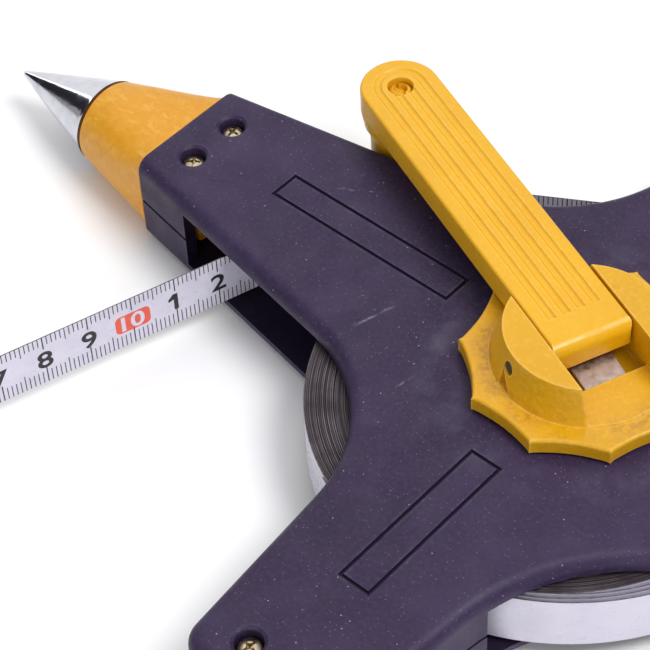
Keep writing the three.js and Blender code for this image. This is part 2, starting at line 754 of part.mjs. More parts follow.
function crankPin() {
  return surface(crossRod(CRANK.pinRadius, -16.4, 16.4, { z: CRANK.pinHeight, sides: 20 }));
}

// The grip turns on its own stem, which snaps into the arm from below.
function crankGrip() {
  const top = CRANK.low - CRANK.collarDrop - GAP;
  const snap = CRANK.high - 2.2 + GAP;
  const { radius, collar, low, stem, head } = GRIP;
  return surface(turned([
    [0, low], [radius - 2.4, low], [radius - 0.9, low + 0.5], [radius, low + 2],
    [radius - 0.7, low + 9], [radius - 0.5, top - 5], [radius, top - 2.4],
    [collar - 0.3, top - 2], [collar, top - 1.4], [collar, top - 0.4], [collar - 0.4, top],
    [stem, top], [stem, snap], [head, snap], [head, snap + 0.5], [stem - 0.4, snap + 1.2], [0, snap + 1.2],
  ], 28));
}

// ---------------------------------------------------------------- assembly

const object = new THREE.Group();

function place(parent, name, geometry, material, position = [0, 0, 0]) {
  const mesh = new THREE.Mesh(geometry, material.clone());
  mesh.name = name;
  mesh.position.set(...position);
  parent.add(mesh);
  return mesh;
}

function branch(parent, { position = [0, 0, 0], turn = 0 } = {}) {
  const group = new THREE.Group();
  group.position.set(...position);
  group.rotation.z = turn;
  parent.add(group);
  return group;
}

function addFrame() {
  place(object, 'lower_frame_shell', lowerShell(), NAVY);
  place(object, 'upper_frame_shell', upperShell(), NAVY);
  screwPlaces().forEach(({ x, y }, i) => {
    place(object, `frame_screw_${i + 1}`, frameScrew(), BRASSY, [x, y, 0]);
  });
  place(object, 'nose_insert', noseInsert(), YELLOW);
  place(object, 'ground_spike', groundSpike(), CHROME);
  const nut = place(object, 'spike_nut', spikeNut(), STEEL, [-NOSE_ARM.end - 2, 0, MID]);
  nut.rotation.y = Math.PI / 2;
}

function addGuides() {
  const [rx, ry] = rollerCentre();
  const guide = branch(object, { position: [rx, ry, 0] });
  place(guide, 'guide_roller', guideRoller(), NYLON);
  place(guide, 'guide_roller_pin', guidePost(ROLLER.pin), STEEL);
  const postRadius = 2.5;
  const [px, py] = polar(EXIT.distance + TAPE.thickness / 2 + GAP + postRadius, EXIT.normal);
  const [sx, sy] = polar(-37.5, EXIT.normal - Math.PI / 2);
  place(object, 'guide_post', guidePost(postRadius), YELLOW, [px + sx, py + sy, 0]);
}

function addReel() {
  place(object, 'lower_thrust_washer', washer(WASHERS.lower), NYLON);
  place(object, 'upper_thrust_washer', washer(WASHERS.upper), NYLON);
  const drum = branch(object, { turn: 60 * RAD });
  place(drum, 'reel_drum', reelDrum(), BLACK);
  place(drum, 'tape_anchor_key', anchorKey(), STEEL);
  place(object, 'tape_pack', tapePack(), EDGES);
  place(object, 'tape_outer_wrap', tapeOuterWrap(), PRINTED);
  place(object, 'tape_lead', tapeLead(), PRINTED);
}

function addBlade() {
  const [fx, fy] = polar(EXIT.distance, EXIT.normal);
  const [dx, dy] = polar(EXIT.tail, EXIT.normal - Math.PI / 2);
  const line = branch(object, { position: [fx + dx, fy + dy, 0], turn: EXIT.normal - Math.PI });
  place(line, 'tape_blade', tapeBlade(), PRINTED);
  place(line, 'tape_end_clip', endClip(), STEEL);
  place(line, 'tape_end_rivet', endRivet(), BRASSY);
  const hinge = -(EXIT.tail - EXIT.zeroMark) - 1 - RING.loop;
  place(line, 'tape_end_ring', endRing(), STEEL, [0, hinge, MID]);
}

function addHub() {
  place(object, 'hub_screw', hubScrew(), STEEL);
  const hub = branch(object, { turn: CRANK.direction });
  place(hub, 'hub_disc', hubDisc(), YELLOW);
  place(hub, 'leaf_spring', leafSpring(), STEEL);
  place(hub, 'crank_pin', crankPin(), STEEL);
  place(hub, 'crank_arm', crankArm(), YELLOW);
  place(hub, 'crank_grip', crankGrip(), YELLOW, [CRANK.reach, 0, 0]);
}

addFrame();
addGuides();
addReel();
addBlade();
addHub();

export default object;
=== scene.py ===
# Looks of an open-reel surveyor's tape: fine meshes and procedural materials, built around the
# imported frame. Sizes are millimetres and degrees, and become metres when a mesh is made. Only the
# lights are given in metres.

import math
import random

import bmesh
import bpy
from mathutils import Matrix, Vector


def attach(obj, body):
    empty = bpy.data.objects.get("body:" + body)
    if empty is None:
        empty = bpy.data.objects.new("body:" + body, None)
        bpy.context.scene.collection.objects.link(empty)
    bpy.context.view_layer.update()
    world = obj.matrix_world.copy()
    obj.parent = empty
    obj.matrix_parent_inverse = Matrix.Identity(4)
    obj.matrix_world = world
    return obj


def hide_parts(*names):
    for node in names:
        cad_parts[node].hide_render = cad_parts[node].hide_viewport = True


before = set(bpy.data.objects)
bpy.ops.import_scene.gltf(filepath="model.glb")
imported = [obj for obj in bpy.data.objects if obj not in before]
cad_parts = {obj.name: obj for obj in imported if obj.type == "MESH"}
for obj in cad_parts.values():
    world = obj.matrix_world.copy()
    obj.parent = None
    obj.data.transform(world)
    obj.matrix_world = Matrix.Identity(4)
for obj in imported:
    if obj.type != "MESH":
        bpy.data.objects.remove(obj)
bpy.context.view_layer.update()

# ---------------------------------------------------------------- driving dimensions

MM = 0.001
GAP = 0.3  # between two pieces that move or are put together
HEIGHT = 22.5
MID = HEIGHT / 2
PLATE = 3.75
WALL = 3
EDGE = 3
JOINT_EDGE = 0.3  # taken off each half shell where the two meet
COIL_ROOM = 58
TAPE_MOUTHS = (-91.8, -46)
REEL_BORE = 8.6

NOSE_ARM = {"end": 107.5, "half": 15, "taper": math.radians(9.76), "corner": 4,
            "engraved": (32, 78.7)}
PLAIN_ARM = {"end": 96, "half": 16.4, "taper": math.radians(4.86), "corner": 5.5,
             "engraved": (30, 67)}
ARMS = [PLAIN_ARM, PLAIN_ARM, NOSE_ARM, PLAIN_ARM]  # at 0, 90, 180 and 270 degrees
NOSE_WAIST = 34.5
PLAIN_WAIST = 45
ENGRAVED_HALF = 3.33
ENGRAVED_DEPTH = 0.45

SCREW_SEAT = 18.9
SCREW_FROM_END = 7.8
SCREW_ACROSS = 6
SCREW_POST = 3.6
COUNTERBORE = 2.8

NOSE = {"length": 24, "ring": 9.7, "swell": 0.04, "end_scale": 0.985, "tail": 13.5, "tongue": 21.5,
        "drift": (-1.2, -1.05)}
SPIKE = {"length": 26.5, "tip": 0.5, "fullness": 0.95, "drift": (-1, -0.1)}

TAPE_WIDTH = 13
TAPE_THICK = 0.26
PACK = {"outer": 47.1, "inner": 29, "offset": 7.6, "direction": 240, "layers": 48}
EXIT = {"normal": 162.4, "distance": 67.8, "tail": -35, "zero": -164.6}
ENTRY = {"normal": 120.5, "distance": 50}
BLADE_LENGTH = EXIT["tail"] - EXIT["zero"]
# Loose turns: their first and last angle, their first and last radius, how soon they close in, and
# the steps that they are drawn in.
LOOSE_TURNS = (
    (245, 470, 55.1, ENTRY["distance"] - 0.7, 115, 150),
    (262, 440, 53.4, 47.6, 100, 100),
    (276, 425, 51.2, 45.4, 100, 100),
)
LEAD_OFFSET = 0.6
ROLLER = 5
ROLLER_BEND = ROLLER + GAP + 0.15  # from the roller's axis to the middle of the tape
GUIDE_POST = 2.5
MARKS = {10: (3.4, 4.3, 0.26), 5: (3.2, 4.2, 0.2), 1: (2.3, 3.3, 0.2)}  # upper, lower, width
DIGIT = {"size": 6.3, "weight": 0.12, "wide": 1.16, "ten": 0.9, "box": (4, 2.45)}
END_LOOP = -3.3  # where the end ring's wire goes through the clip, from the tape's zero mark

DISC = {"tips": 24.6, "roots": 22.6, "lobes": 10, "tip": 16.8, "low": 22.9, "high": 26.5}
BOSS = {"base": 18.3, "top": 16.1, "high": 34.5, "slot": 8.85, "floor": 26.8, "pit": 25.3}
LEAF = {"start": -7.7, "length": 16.3, "half": 4.6, "thick": 0.56, "bow": 0.5, "above": 0.62}
PIN = {"radius": 1.25, "reach": 16.95, "disc_hole": 1.42, "arm_hole": 1.5}
CRANK = {"turn": 158, "reach": 77, "half": 8.5, "low": 28.1, "high": 34.4, "pin": 31.25, "end": -3.1,
         "rounding": 2.8, "pockets": 5, "collar": 1.6, "snap": 2.2}
CRANK_GROOVES = {"start": 4.6, "outer": 4.8, "inner": 1.6, "short": 2}
GRIP = {"radius": 7.1, "collar": 7.9, "low": 3.4, "rings": 3}

# Scuffs on the top face: from one plan point to another, and how wide.
SCUFFS = [
    ((-41.6, -21.2), (-38.5, -11.0), 0.4),
    ((-24.8, -27.4), (-23.4, -22.3), 0.3),
    ((30, -52), (44, -50), 0.3),
    ((-70, 6), (-62, 11), 0.22),
    ((12, 52), (22, 66), 0.3),
    ((52, 12), (70, 4), 0.3),
]

# The angles are degrees, the place is millimetres.
CAMERA = {"azimuth": 44.43, "elevation": 47.08, "roll": -3.34, "place": (167.88, -241.47, 359.01),
          "sensor": 36, "lens": 127.4, "shift": -0.0462}

# Each light: its place, what it points at and its size in metres, and its power in watts.
LIGHTS = {
    "key": ((0.5, 0.12, 0.95), (0, 0, 0), 0.5, 7.6),
    "front": ((0.35, -0.75, 0.38), (0, 0, 0), 0.9, 2.2),
    "back": ((-0.5, 0.4, 0.9), (-0.05, 0, 0), 1.3, 4.5),
}
WORLD_LIGHT = 0.38
BOARD_X = (-660, -650)  # where the boards that the chrome mirrors stand
BOARD_LOW = -6

# ---------------------------------------------------------------- plan geometry


def polar(radius, degrees):
    return Vector((radius * math.cos(math.radians(degrees)), radius * math.sin(math.radians(degrees))))


def turned(point, degrees):
    return Vector(point) @ Matrix.Rotation(math.radians(-degrees), 2)


def crossing(normal_a, distance_a, normal_b, distance_b):
    """Where two lines cross, each given by its normal's angle and its distance from the axis."""
    a = polar(1, normal_a)
    b = polar(1, normal_b)
    det = a.x * b.y - a.y * b.x
    x = (distance_a * b.y - distance_b * a.y) / det
    y = (a.x * distance_b - b.x * distance_a) / det
    return Vector((x, y))


def filleted(corners, steps=8):
    """A closed outline as (point, outward normal) pairs. Each corner is x, y and a radius."""
    outline = []
    count = len(corners)
    for i, (x, y, radius) in enumerate(corners):
        here = Vector((x, y))
        back = (Vector(corners[i - 1][:2]) - here).normalized()
        ahead = (Vector(corners[(i + 1) % count][:2]) - here).normalized()
        half = back.angle(ahead) / 2
        centre = here + (back + ahead).normalized() * radius / math.sin(half)
        reach = radius / math.tan(half)
        first = here + back * reach - centre
        last = here + ahead * reach - centre
        start = math.atan2(first.y, first.x)
        sweep = math.atan2(last.y, last.x) - start
        sweep = (sweep + math.pi) % (2 * math.pi) - math.pi
        outward = 1 if sweep > 0 else -1
        for k in range(steps + 1):
            angle = start + sweep * k / steps
            ray = Vector((math.cos(angle), math.sin(angle)))
            outline.append((centre + ray * radius, ray * outward))
    return outline


def round_outline(radius, steps=96, centre=(0, 0)):
    rays = [polar(1, 360 * k / steps) for k in range(steps)]
    return [(Vector(centre) + ray * radius, ray) for ray in rays]


def arc(centre, radius, start, end, steps):
    return [Vector(centre) + polar(radius, start + (end - start) * k / steps) for k in range(steps + 1)]


def rectangle(start, end, half, near, far, steps=4):
    """A rounded rectangle along X, with one radius at its near end and one at its far end."""
    return filleted([(start, -half, near), (end, -half, far), (end, half, far), (start, half, near)], steps)


def inset(outline, distance):
    return [point - normal * distance for point, normal in outline]


# ---------------------------------------------------------------- mesh helpers


def new_object(name, data):
    piece = bpy.data.objects.new(name, data)
    bpy.context.scene.collection.objects.link(piece)
    return piece


def mesh_piece(name, points, faces):
    mesh = bpy.data.meshes.new(name)
    mesh.from_pydata([[c * MM for c in point] for point in points], [], faces)
    mesh.validate()
    mesh.update()
    return new_object(name, mesh)


def stacked(name, rings, closed=False):
    """A solid through rings of equal length. Its ends are capped or, if it is closed, joined."""
    total, count = len(rings), len(rings[0])
    points = [point for ring in rings for point in ring]
    faces = []
    for i in range(total if closed else total - 1):
        low, high = i * count, (i + 1) % total * count
        for k in range(count):
            n = (k + 1) % count
            faces.append((low + k, low + n, high + n, high + k))
    if not closed:
        first, last = range(count), range((total - 1) * count, total * count)
        faces = [tuple(reversed(first)), *faces, tuple(last)]
    return mesh_piece(name, points, faces)


def slab(name, outline, levels):
    """An outline raised through (inset, height) levels."""
    return stacked(name, [[(p.x, p.y, z) for p in inset(outline, shrink)] for shrink, z in levels])


def edge_levels(low, high, low_edge, high_edge, steps=5):
    """Levels with both edges rounded."""
    quarter = [math.pi / 2 * k / steps for k in range(steps + 1)]
    bottom = [(low_edge * (1 - math.sin(a)), low + low_edge * (1 - math.cos(a))) for a in quarter]
    top = [(high_edge * (1 - math.cos(a)), high - high_edge * (1 - math.sin(a))) for a in quarter]
    return bottom + top


def lathe(name, profile, steps=64, centre=(0, 0)):
    """A turned solid. The profile is radius and height pairs from low to high."""
    points = []
    rings = []
    for radius, z in profile:
        if radius == 0:
            rings.append([len(points)] * steps)
            points.append((centre[0], centre[1], z))
        else:
            rings.append(range(len(points), len(points) + steps))
            points += [(centre[0] + p.x, centre[1] + p.y, z) for p, _ in round_outline(radius, steps)]
    faces = []
    if profile[0][0] > 0:
        faces.append(tuple(reversed(rings[0])))
    if profile[-1][0] > 0:
        faces.append(tuple(rings[-1]))
    for low, high in zip(rings, rings[1:]):
        for k in range(steps):
            n = (k + 1) % steps
            corners = (low[k], low[n], high[n], high[k])
            faces.append(tuple(dict.fromkeys(corners)))
    return mesh_piece(name, points, faces)


def rod(name, radius, low, high, steps, centre=(0, 0)):
    return lathe(name, [(radius, low), (radius, high)], steps, centre)


def hollow(name, profile, steps, centre):
    """A turned solid with a hole. The profile is a closed loop of radius and height pairs."""
    rays = [p for p, _ in round_outline(1, steps)]
    loops = [[(centre[0] + p.x * r, centre[1] + p.y * r, z) for p in rays] for r, z in profile]
    return outward(stacked(name, loops, closed=True))


def rounded_profile(corners, steps=4):
    """A lathe profile whose inner corners are rounded. Each corner is radius, height, rounding."""
    points = []
    for i, (r, z, rounding) in enumerate(corners):
        if rounding == 0:
            points.append((r, z))
            continue
        here = Vector((r, z))
        back = (Vector(corners[i - 1][:2]) - here).normalized() * rounding
        ahead = (Vector(corners[i + 1][:2]) - here).normalized() * rounding
        for k in range(steps + 1):
            t = k / steps
            point = here + back * (1 - t) ** 2 + ahead * t ** 2
            points.append((point.x, point.y))
    return points


def mirrored_profile(top, middle=0):
    """A rounded profile whose lower half mirrors the upper one about a height."""
    bottom = [(r, 2 * middle - z, rounding) for r, z, rounding in reversed(top)]
    return rounded_profile(bottom + top)


def box(name, low, high):
    x0, y0, z0 = low
    x1, y1, z1 = high
    square = [(x0, y0), (x1, y0), (x1, y1), (x0, y1)]
    return stacked(name, [[(x, y, z) for x, y in square] for z in (z0, z1)])


def swept(name, path, section, closed=False):
    """A section of (across, height) points carried along a plan path."""
    rings = []
    count = len(path)
    for i, here in enumerate(path):
        back = path[i - 1] if closed or i > 0 else path[0]
        ahead = path[(i + 1) % count] if closed or i < count - 1 else path[-1]
        into = (here - back).normalized() if (here - back).length > 0 else (ahead - here).normalized()
        out = (ahead - here).normalized() if (ahead - here).length > 0 else into
        tangent = (into + out).normalized()
        side = Vector((-tangent.y, tangent.x)) / max(tangent.dot(into), 0.3)
        rings.append([(here.x + side.x * a, here.y + side.y * a, z) for a, z in section])
    return stacked(name, rings, closed)


def eased(half_wide, half_high, across, up):
    """A rectangular section about its middle, with its four corners cut off."""
    right = [(half_wide, up - half_high), (half_wide, half_high - up), (half_wide - across, half_high)]
    left = [(across - half_wide, half_high), (-half_wide, half_high - up), (-half_wide, up - half_high)]
    return right + left + [(across - half_wide, -half_high), (half_wide - across, -half_high)]


def settle(piece):
    """Applies the modifiers."""
    depsgraph = bpy.context.evaluated_depsgraph_get()
    mesh = bpy.data.meshes.new_from_object(piece.evaluated_get(depsgraph))
    old = piece.data
    piece.modifiers.clear()
    piece.data = mesh
    bpy.data.meshes.remove(old)


def outward(piece):
    """Turns all faces outward."""
    work = bmesh.new()
    work.from_mesh(piece.data)
    bmesh.ops.recalc_face_normals(work, faces=work.faces)
    work.to_mesh(piece.data)
    work.free()
    return piece


def joined(name, *pieces):
    """One mesh of several, for cutters that don't touch one another."""
    points = []
    faces = []
    for piece in pieces:
        start = len(points)
        points.extend([c / MM for c in v.co] for v in piece.data.vertices)
        faces.extend(tuple(start + i for i in f.vertices) for f in piece.data.polygons)
        bpy.data.objects.remove(piece)
    return mesh_piece(name, points, faces)


def boolean(piece, tool, operation="DIFFERENCE"):
    outward(tool)
    change = piece.modifiers.new("boolean", "BOOLEAN")
    change.operation = operation
    change.solver = "EXACT"
    change.object = tool
    settle(piece)
    bpy.data.objects.remove(tool)
    return piece


def cut(piece, *tools):
    for tool in tools:
        boolean(piece, tool)
    return piece


def fuse(piece, *tools):
    for tool in tools:
        boolean(piece, tool, "UNION")
    return piece


def bevelled(piece, width, segments=2, angle=50):
    change = piece.modifiers.new("bevel", "BEVEL")
    change.width = width * MM
    change.segments = segments
    change.limit_method = "ANGLE"
    change.angle_limit = math.radians(angle)
    settle(piece)
    return piece


def smoothed(piece, angle=32):
    piece.data.shade_smooth()
    piece.data.set_sharp_from_angle(angle=math.radians(angle))
    change = piece.modifiers.new("normals", "WEIGHTED_NORMAL")
    change.keep_sharp = True
    settle(piece)
    return piece


def moved(piece, offset=(0, 0, 0), turn=0, axis="Z"):
    shift = Matrix.Translation(Vector(offset) * MM)
    piece.data.transform(shift @ Matrix.Rotation(math.radians(turn), 4, axis))
    return piece


def dress(piece, body, material, slot, *nodes):
    """Gives a piece its material, lets it ride on its body and hides the CAD nodes. The slot is not used.
    """
    piece.data.materials.clear()
    piece.data.materials.append(material)
    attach(piece, body)
    if nodes:
        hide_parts(*nodes)
    return piece


# ---------------------------------------------------------------- material helpers


def srgb(red, green, blue):
    """A colour given as it looks, from 0 to 255, in the renderer's linear values."""
    def linear(value):
        value /= 255
        return value / 12.92 if value <= 0.04045 else ((value + 0.055) / 1.055) ** 2.4
    return (linear(red), linear(green), linear(blue))


class Look:
    """A principled material whose colour is laid on in coats. All sizes are millimetres."""

    def __init__(self, name, colour, roughness, metallic=0.0, **sockets):
        self.material = bpy.data.materials.new(name)
        self.material.use_nodes = True
        self.tree = self.material.node_tree
        self.shader = self.tree.nodes["Principled BSDF"]
        self.shader.inputs["Roughness"].default_value = roughness
        self.shader.inputs["Metallic"].default_value = metallic
        for socket, value in sockets.items():
            self.shader.inputs[socket.replace("_", " ")].default_value = value
        self.place = self.node("ShaderNodeTexCoord").outputs["Object"]
        self.shade = colour
        self.height = None

    def node(self, kind, inputs=None, **settings):
        """A new node with its settings, and its inputs by name or number."""
        node = self.tree.nodes.new(kind)
        for key, value in settings.items():
            setattr(node, key, value)
        for key, value in (inputs or {}).items():
            self.feed(node.inputs[key], value)
        return node

    def feed(self, socket, value):
        """Gives a socket a number, a colour or another node's output."""
        if isinstance(value, (int, float)):
            socket.default_value = value
        elif isinstance(value, tuple):
            socket.default_value = (*value, 1)
        else:
            self.tree.links.new(value, socket)

    def math(self, operation, first, second=0.0):
        return self.node("ShaderNodeMath", {0: first, 1: second}, operation=operation).outputs[0]

    def times(self, first, *others):
        for other in others:
            first = self.math("MULTIPLY", first, other)
        return first

    def coordinates(self, scale=(1, 1, 1), turn=0):
        """Object coordinates in millimetres, turned about Z and scaled."""
        node = self.node("ShaderNodeMapping", {"Vector": self.place})
        node.inputs["Rotation"].default_value = (0, 0, math.radians(turn))
        node.inputs["Scale"].default_value = [s / MM for s in scale]
        return node.outputs[0]

    def axes(self):
        return self.node("ShaderNodeSeparateXYZ", {0: self.coordinates()}).outputs

    def noise(self, size, detail, scale=(1, 1, 1), turn=0, distortion=0.0):
        """Noise whose blobs are about size millimetres across."""
        place = self.coordinates([s / size for s in scale], turn)
        inputs = {"Vector": place, "Scale": 1, "Detail": detail, "Distortion": distortion}
        return self.node("ShaderNodeTexNoise", inputs).outputs[0]

    def ramp(self, value, low, high, low_out=0.0, high_out=1.0):
        inputs = dict(enumerate((value, low, high, low_out, high_out)))
        return self.node("ShaderNodeMapRange", inputs).outputs[0]

    def patches(self, size, detail, low, high, low_out=0.0, high_out=1.0, **shape):
        """Noise with its values stretched from low and high to two others."""
        return self.ramp(self.noise(size, detail, **shape), low, high, low_out, high_out)

    def specks(self, spacing, radius, share):
        """Small dots: one in each cell, where share says how many of the cells have one."""
        place = self.coordinates([1 / spacing] * 3)
        node = self.node("ShaderNodeTexVoronoi", {"Vector": place, "Scale": 1})
        dot = self.ramp(node.outputs["Distance"], radius, radius * 0.5)
        return self.times(dot, self.math("LESS_THAN", node.outputs["Color"], share))

    def scratches(self, length, width, turn, low=0.7, high=0.76):
        """Thin lines along one direction, broken up by a coarser noise."""
        lines = self.noise(1, 1, (1 / length, 1 / width, 1 / width), turn, 0.3)
        return self.times(self.ramp(lines, low, high), self.patches(14, 2, 0.5, 0.6))

    def edges(self, radius):
        """One along edges and corners, nothing on flat faces."""
        bevel = self.node("ShaderNodeBevel", {"Radius": radius * MM}, samples=4).outputs[0]
        normal = self.node("ShaderNodeNewGeometry").outputs["Normal"]
        dot = self.node("ShaderNodeVectorMath", {0: bevel, 1: normal}, operation="DOT_PRODUCT")
        return self.ramp(dot.outputs["Value"], 0.995, 0.9)

    def stroke(self, start, end, width):
        """A scuff on the top face between two plan points, nearly straight and fading at its ends."""
        x, y, z = self.axes()
        start, end = Vector(start), Vector(end)
        along = (end - start).normalized()
        middle = (start + end) / 2
        half = (end - start).length / 2
        x = self.math("SUBTRACT", x, middle.x)
        y = self.math("SUBTRACT", y, middle.y)
        forward = self.math("ADD", self.times(x, along.x), self.times(y, along.y))
        sideways = self.math("SUBTRACT", self.times(y, along.x), self.times(x, along.y))
        wander = self.patches(6, 2, 0.3, 0.7, -0.35, 0.35)
        across = self.math("ABSOLUTE", self.math("ADD", sideways, wander))
        return self.times(
            self.ramp(across, width, width * 0.3),
            self.ramp(self.math("ABSOLUTE", forward), half, half * 0.6),
            self.patches(1.8, 4, 0.38, 0.6),
            self.math("GREATER_THAN", z, HEIGHT - EDGE),
        )

    def away_from(self, centre):
        """The distance in plan from a point."""
        x, y, _ = self.axes()
        x = self.math("SUBTRACT", x, centre[0])
        y = self.math("SUBTRACT", y, centre[1])
        return self.math("SQRT", self.math("ADD", self.times(x, x), self.times(y, y)))

    def ring(self, radius, width):
        """A soft ring about the reel's axis."""
        off = self.math("ABSOLUTE", self.math("SUBTRACT", self.away_from((0, 0)), radius))
        return self.ramp(off, width, 0)

    def coat(self, mask, colour, amount=1):
        """Lays a colour over the earlier ones, as far as the mask says."""
        share = mask if amount == 1 else self.times(mask, amount)
        node = self.node("ShaderNodeMix", {0: share, 6: self.shade, 7: colour}, data_type="RGBA")
        self.shade = node.outputs[2]

    def roughness(self, value):
        self.feed(self.shader.inputs["Roughness"], value)

    def raise_by(self, value, millimetres):
        """Adds to the surface's height."""
        amount = self.times(value, millimetres)
        self.height = amount if self.height is None else self.math("ADD", self.height, amount)

    def done(self):
        self.feed(self.shader.inputs["Base Color"], self.shade)
        if self.height is not None:
            bump = self.node("ShaderNodeBump", {"Strength": 1, "Distance": MM, "Height": self.height})
            self.feed(self.shader.inputs["Normal"], bump.outputs[0])
        return self.material


# ---------------------------------------------------------------- materials


def navy_plastic():
    """Dark moulded plastic, worn at its edges, rubbed about the hub, scuffed and dusty."""
    look = Look("navy_plastic", srgb(38, 24, 54), 0.5, Specular_IOR_Level=0.3)
    look.coat(look.patches(34, 3, 0.35, 0.7), srgb(49, 35, 67))
    look.coat(look.patches(11, 6, 0.5, 0.8, 0, 0.35, distortion=0.4), srgb(72, 60, 92))
    look.coat(look.patches(0.9, 3, 0.42, 0.66, 0, 0.5), srgb(58, 44, 78))
    look.coat(look.times(look.edges(1.2), look.patches(3, 5, 0.4, 0.65)), srgb(98, 94, 118), 0.45)
    look.coat(look.times(look.ring(29, 6), look.patches(5, 5, 0.45, 0.75)), srgb(104, 98, 118), 0.3)
    for start, end, width in SCUFFS:
        look.coat(look.stroke(start, end, width), srgb(132, 126, 146), 0.6)
    for turn in (25, -55):
        look.coat(look.scratches(6, 0.1, turn, 0.72, 0.77), srgb(120, 114, 134), 0.25)
    look.coat(look.specks(0.8, 0.2, 0.45), srgb(116, 106, 138), 0.5)
    dust = look.specks(1.9, 0.1, 0.42)
    look.coat(dust, srgb(160, 154, 172), 0.75)
    look.coat(look.specks(9, 0.03, 0.35), srgb(200, 196, 206))
    look.roughness(look.math("ADD", look.patches(7, 4, 0.35, 0.7, 0.44, 0.6), look.times(dust, 0.3)))
    look.raise_by(look.noise(0.35, 2), 0.035)
    look.raise_by(look.noise(7, 2), 0.05)
    return look.done()


def yellow_plastic(name, deep, pale, grain):
    """Yellow plastic with grime about the hub, pale edges that are partly rubbed wear and partly painted
    highlight, and fine scratches.
    """
    look = Look(name, deep, 0.35, Specular_IOR_Level=0.4)
    look.coat(look.patches(18, 3, 0.35, 0.7), pale)
    look.coat(look.patches(1.6, 5, 0.52, 0.8, 0, 0.35, distortion=1.0), srgb(232, 174, 52))
    spots = look.times(look.patches(5, 4, 0.42, 0.6), look.patches(0.9, 3, 0.4, 0.6))
    on_disc = look.math("LESS_THAN", look.axes()[2], DISC["high"] + 1.5)
    look.coat(look.times(look.ring(19.5, 4.5), spots, on_disc), srgb(158, 106, 40), 0.8)
    look.coat(look.patches(0.9, 4, 0.52, 0.72, 0, 0.3), srgb(236, 190, 66))
    # Pale edges: partly rubbed wear, partly a painted highlight where a rounded edge would catch the light.
    look.coat(look.times(look.edges(0.8), look.patches(2, 4, 0.3, 0.6, 0.25, 0.7)), srgb(240, 192, 84))
    look.coat(look.times(look.edges(0.5), look.patches(1.1, 5, 0.54, 0.62)), srgb(240, 208, 140), 0.5)
    look.coat(look.specks(2.4, 0.07, 0.3), srgb(150, 100, 30), 0.5)
    for turn in (65, -20):
        line = look.scratches(5, 0.1, turn)
        look.coat(line, srgb(240, 206, 130), 0.35)
        look.raise_by(line, -0.01)
    look.roughness(look.patches(4, 4, 0.35, 0.7, 0.26, 0.44))
    look.raise_by(look.noise(0.5, 2), 0.02)
    look.raise_by(look.noise(1.3, 3), grain)
    look.raise_by(look.noise(5, 2), 0.08)
    return look.done()


def nose_plastic():
    """The nose's deeper yellow, streaked and rubbed."""
    look = Look("nose_plastic", srgb(217, 147, 3), 0.4, Specular_IOR_Level=0.45)
    look.coat(look.patches(1.7, 6, 0.4, 0.75, distortion=0.8), srgb(224, 159, 18))
    look.coat(look.patches(6, 4, 0.5, 0.75, 0, 0.4), srgb(228, 166, 54))
    streaks = look.patches(2.6, 5, 0.52, 0.7, 0, 0.4, scale=(0.6, 1.6, 1), distortion=0.8)
    look.coat(streaks, srgb(238, 186, 80))
    look.coat(look.specks(1.9, 0.08, 0.3), srgb(120, 74, 24), 0.5)
    line = look.scratches(5, 0.1, 15)
    look.coat(line, srgb(236, 200, 130), 0.35)
    look.roughness(look.patches(3, 4, 0.35, 0.7, 0.34, 0.52))
    look.raise_by(look.noise(0.6, 2), 0.025)
    look.raise_by(look.noise(6, 2), 0.08)
    look.raise_by(line, -0.01)
    return look.done()


def metal(name, colour, dull, roughness, grain=0.02, rust=0.0):
    """Plain metal with duller patches and, where it has some, rust."""
    look = Look(name, colour, roughness, 1.0)
    look.coat(look.patches(1.6, 4, 0.35, 0.7), dull)
    if rust > 0:
        look.coat(look.patches(1.8, 5, 0.64, 0.76, 0, rust), srgb(138, 92, 56))
    look.roughness(look.patches(1.2, 5, 0.3, 0.7, roughness * 0.7, roughness * 1.5))
    look.raise_by(look.noise(0.3, 3), grain)
    return look.done()


def chrome():
    """Plating with a faint haze and fine scratches, both duller than the rest."""
    look = Look("chrome", srgb(212, 212, 220), 0.07, 1.0)
    haze = look.patches(3.4, 5, 0.45, 0.8)
    look.coat(haze, srgb(196, 196, 205))
    line = look.scratches(4, 0.06, 70)
    look.roughness(look.math("ADD", look.ramp(haze, 0, 1, 0.09, 0.2), look.times(line, 0.2)))
    look.raise_by(line, -0.004)
    look.raise_by(look.noise(2.4, 3), 0.035)
    return look.done()


def tape_enamel():
    """The tape's pale enamel, a little smeared and specked."""
    look = Look("tape_enamel", srgb(216, 212, 228), 0.3, Specular_IOR_Level=0.5, Coat_Weight=0.2,
                Coat_Roughness=0.2)
    look.coat(look.patches(6, 4, 0.35, 0.7), srgb(207, 203, 220))
    look.coat(look.patches(5, 4, 0.55, 0.85, 0, 0.2, distortion=0.4), srgb(188, 182, 198))
    look.coat(look.specks(1.3, 0.08, 0.25), srgb(128, 120, 134), 0.4)
    look.roughness(look.patches(2, 4, 0.3, 0.7, 0.22, 0.42))
    look.raise_by(look.noise(0.7, 2), 0.01)
    return look.done()


def print_ink(name, colour, faded):
    """Ink that has worn thin in places."""
    look = Look(name, colour, 0.45)
    look.coat(look.patches(0.6, 5, 0.6, 0.72, 0, 0.5), faded)
    look.roughness(look.patches(0.5, 3, 0.3, 0.7, 0.35, 0.6))
    look.raise_by(look.noise(0.3, 2), 0.004)
    return look.done()


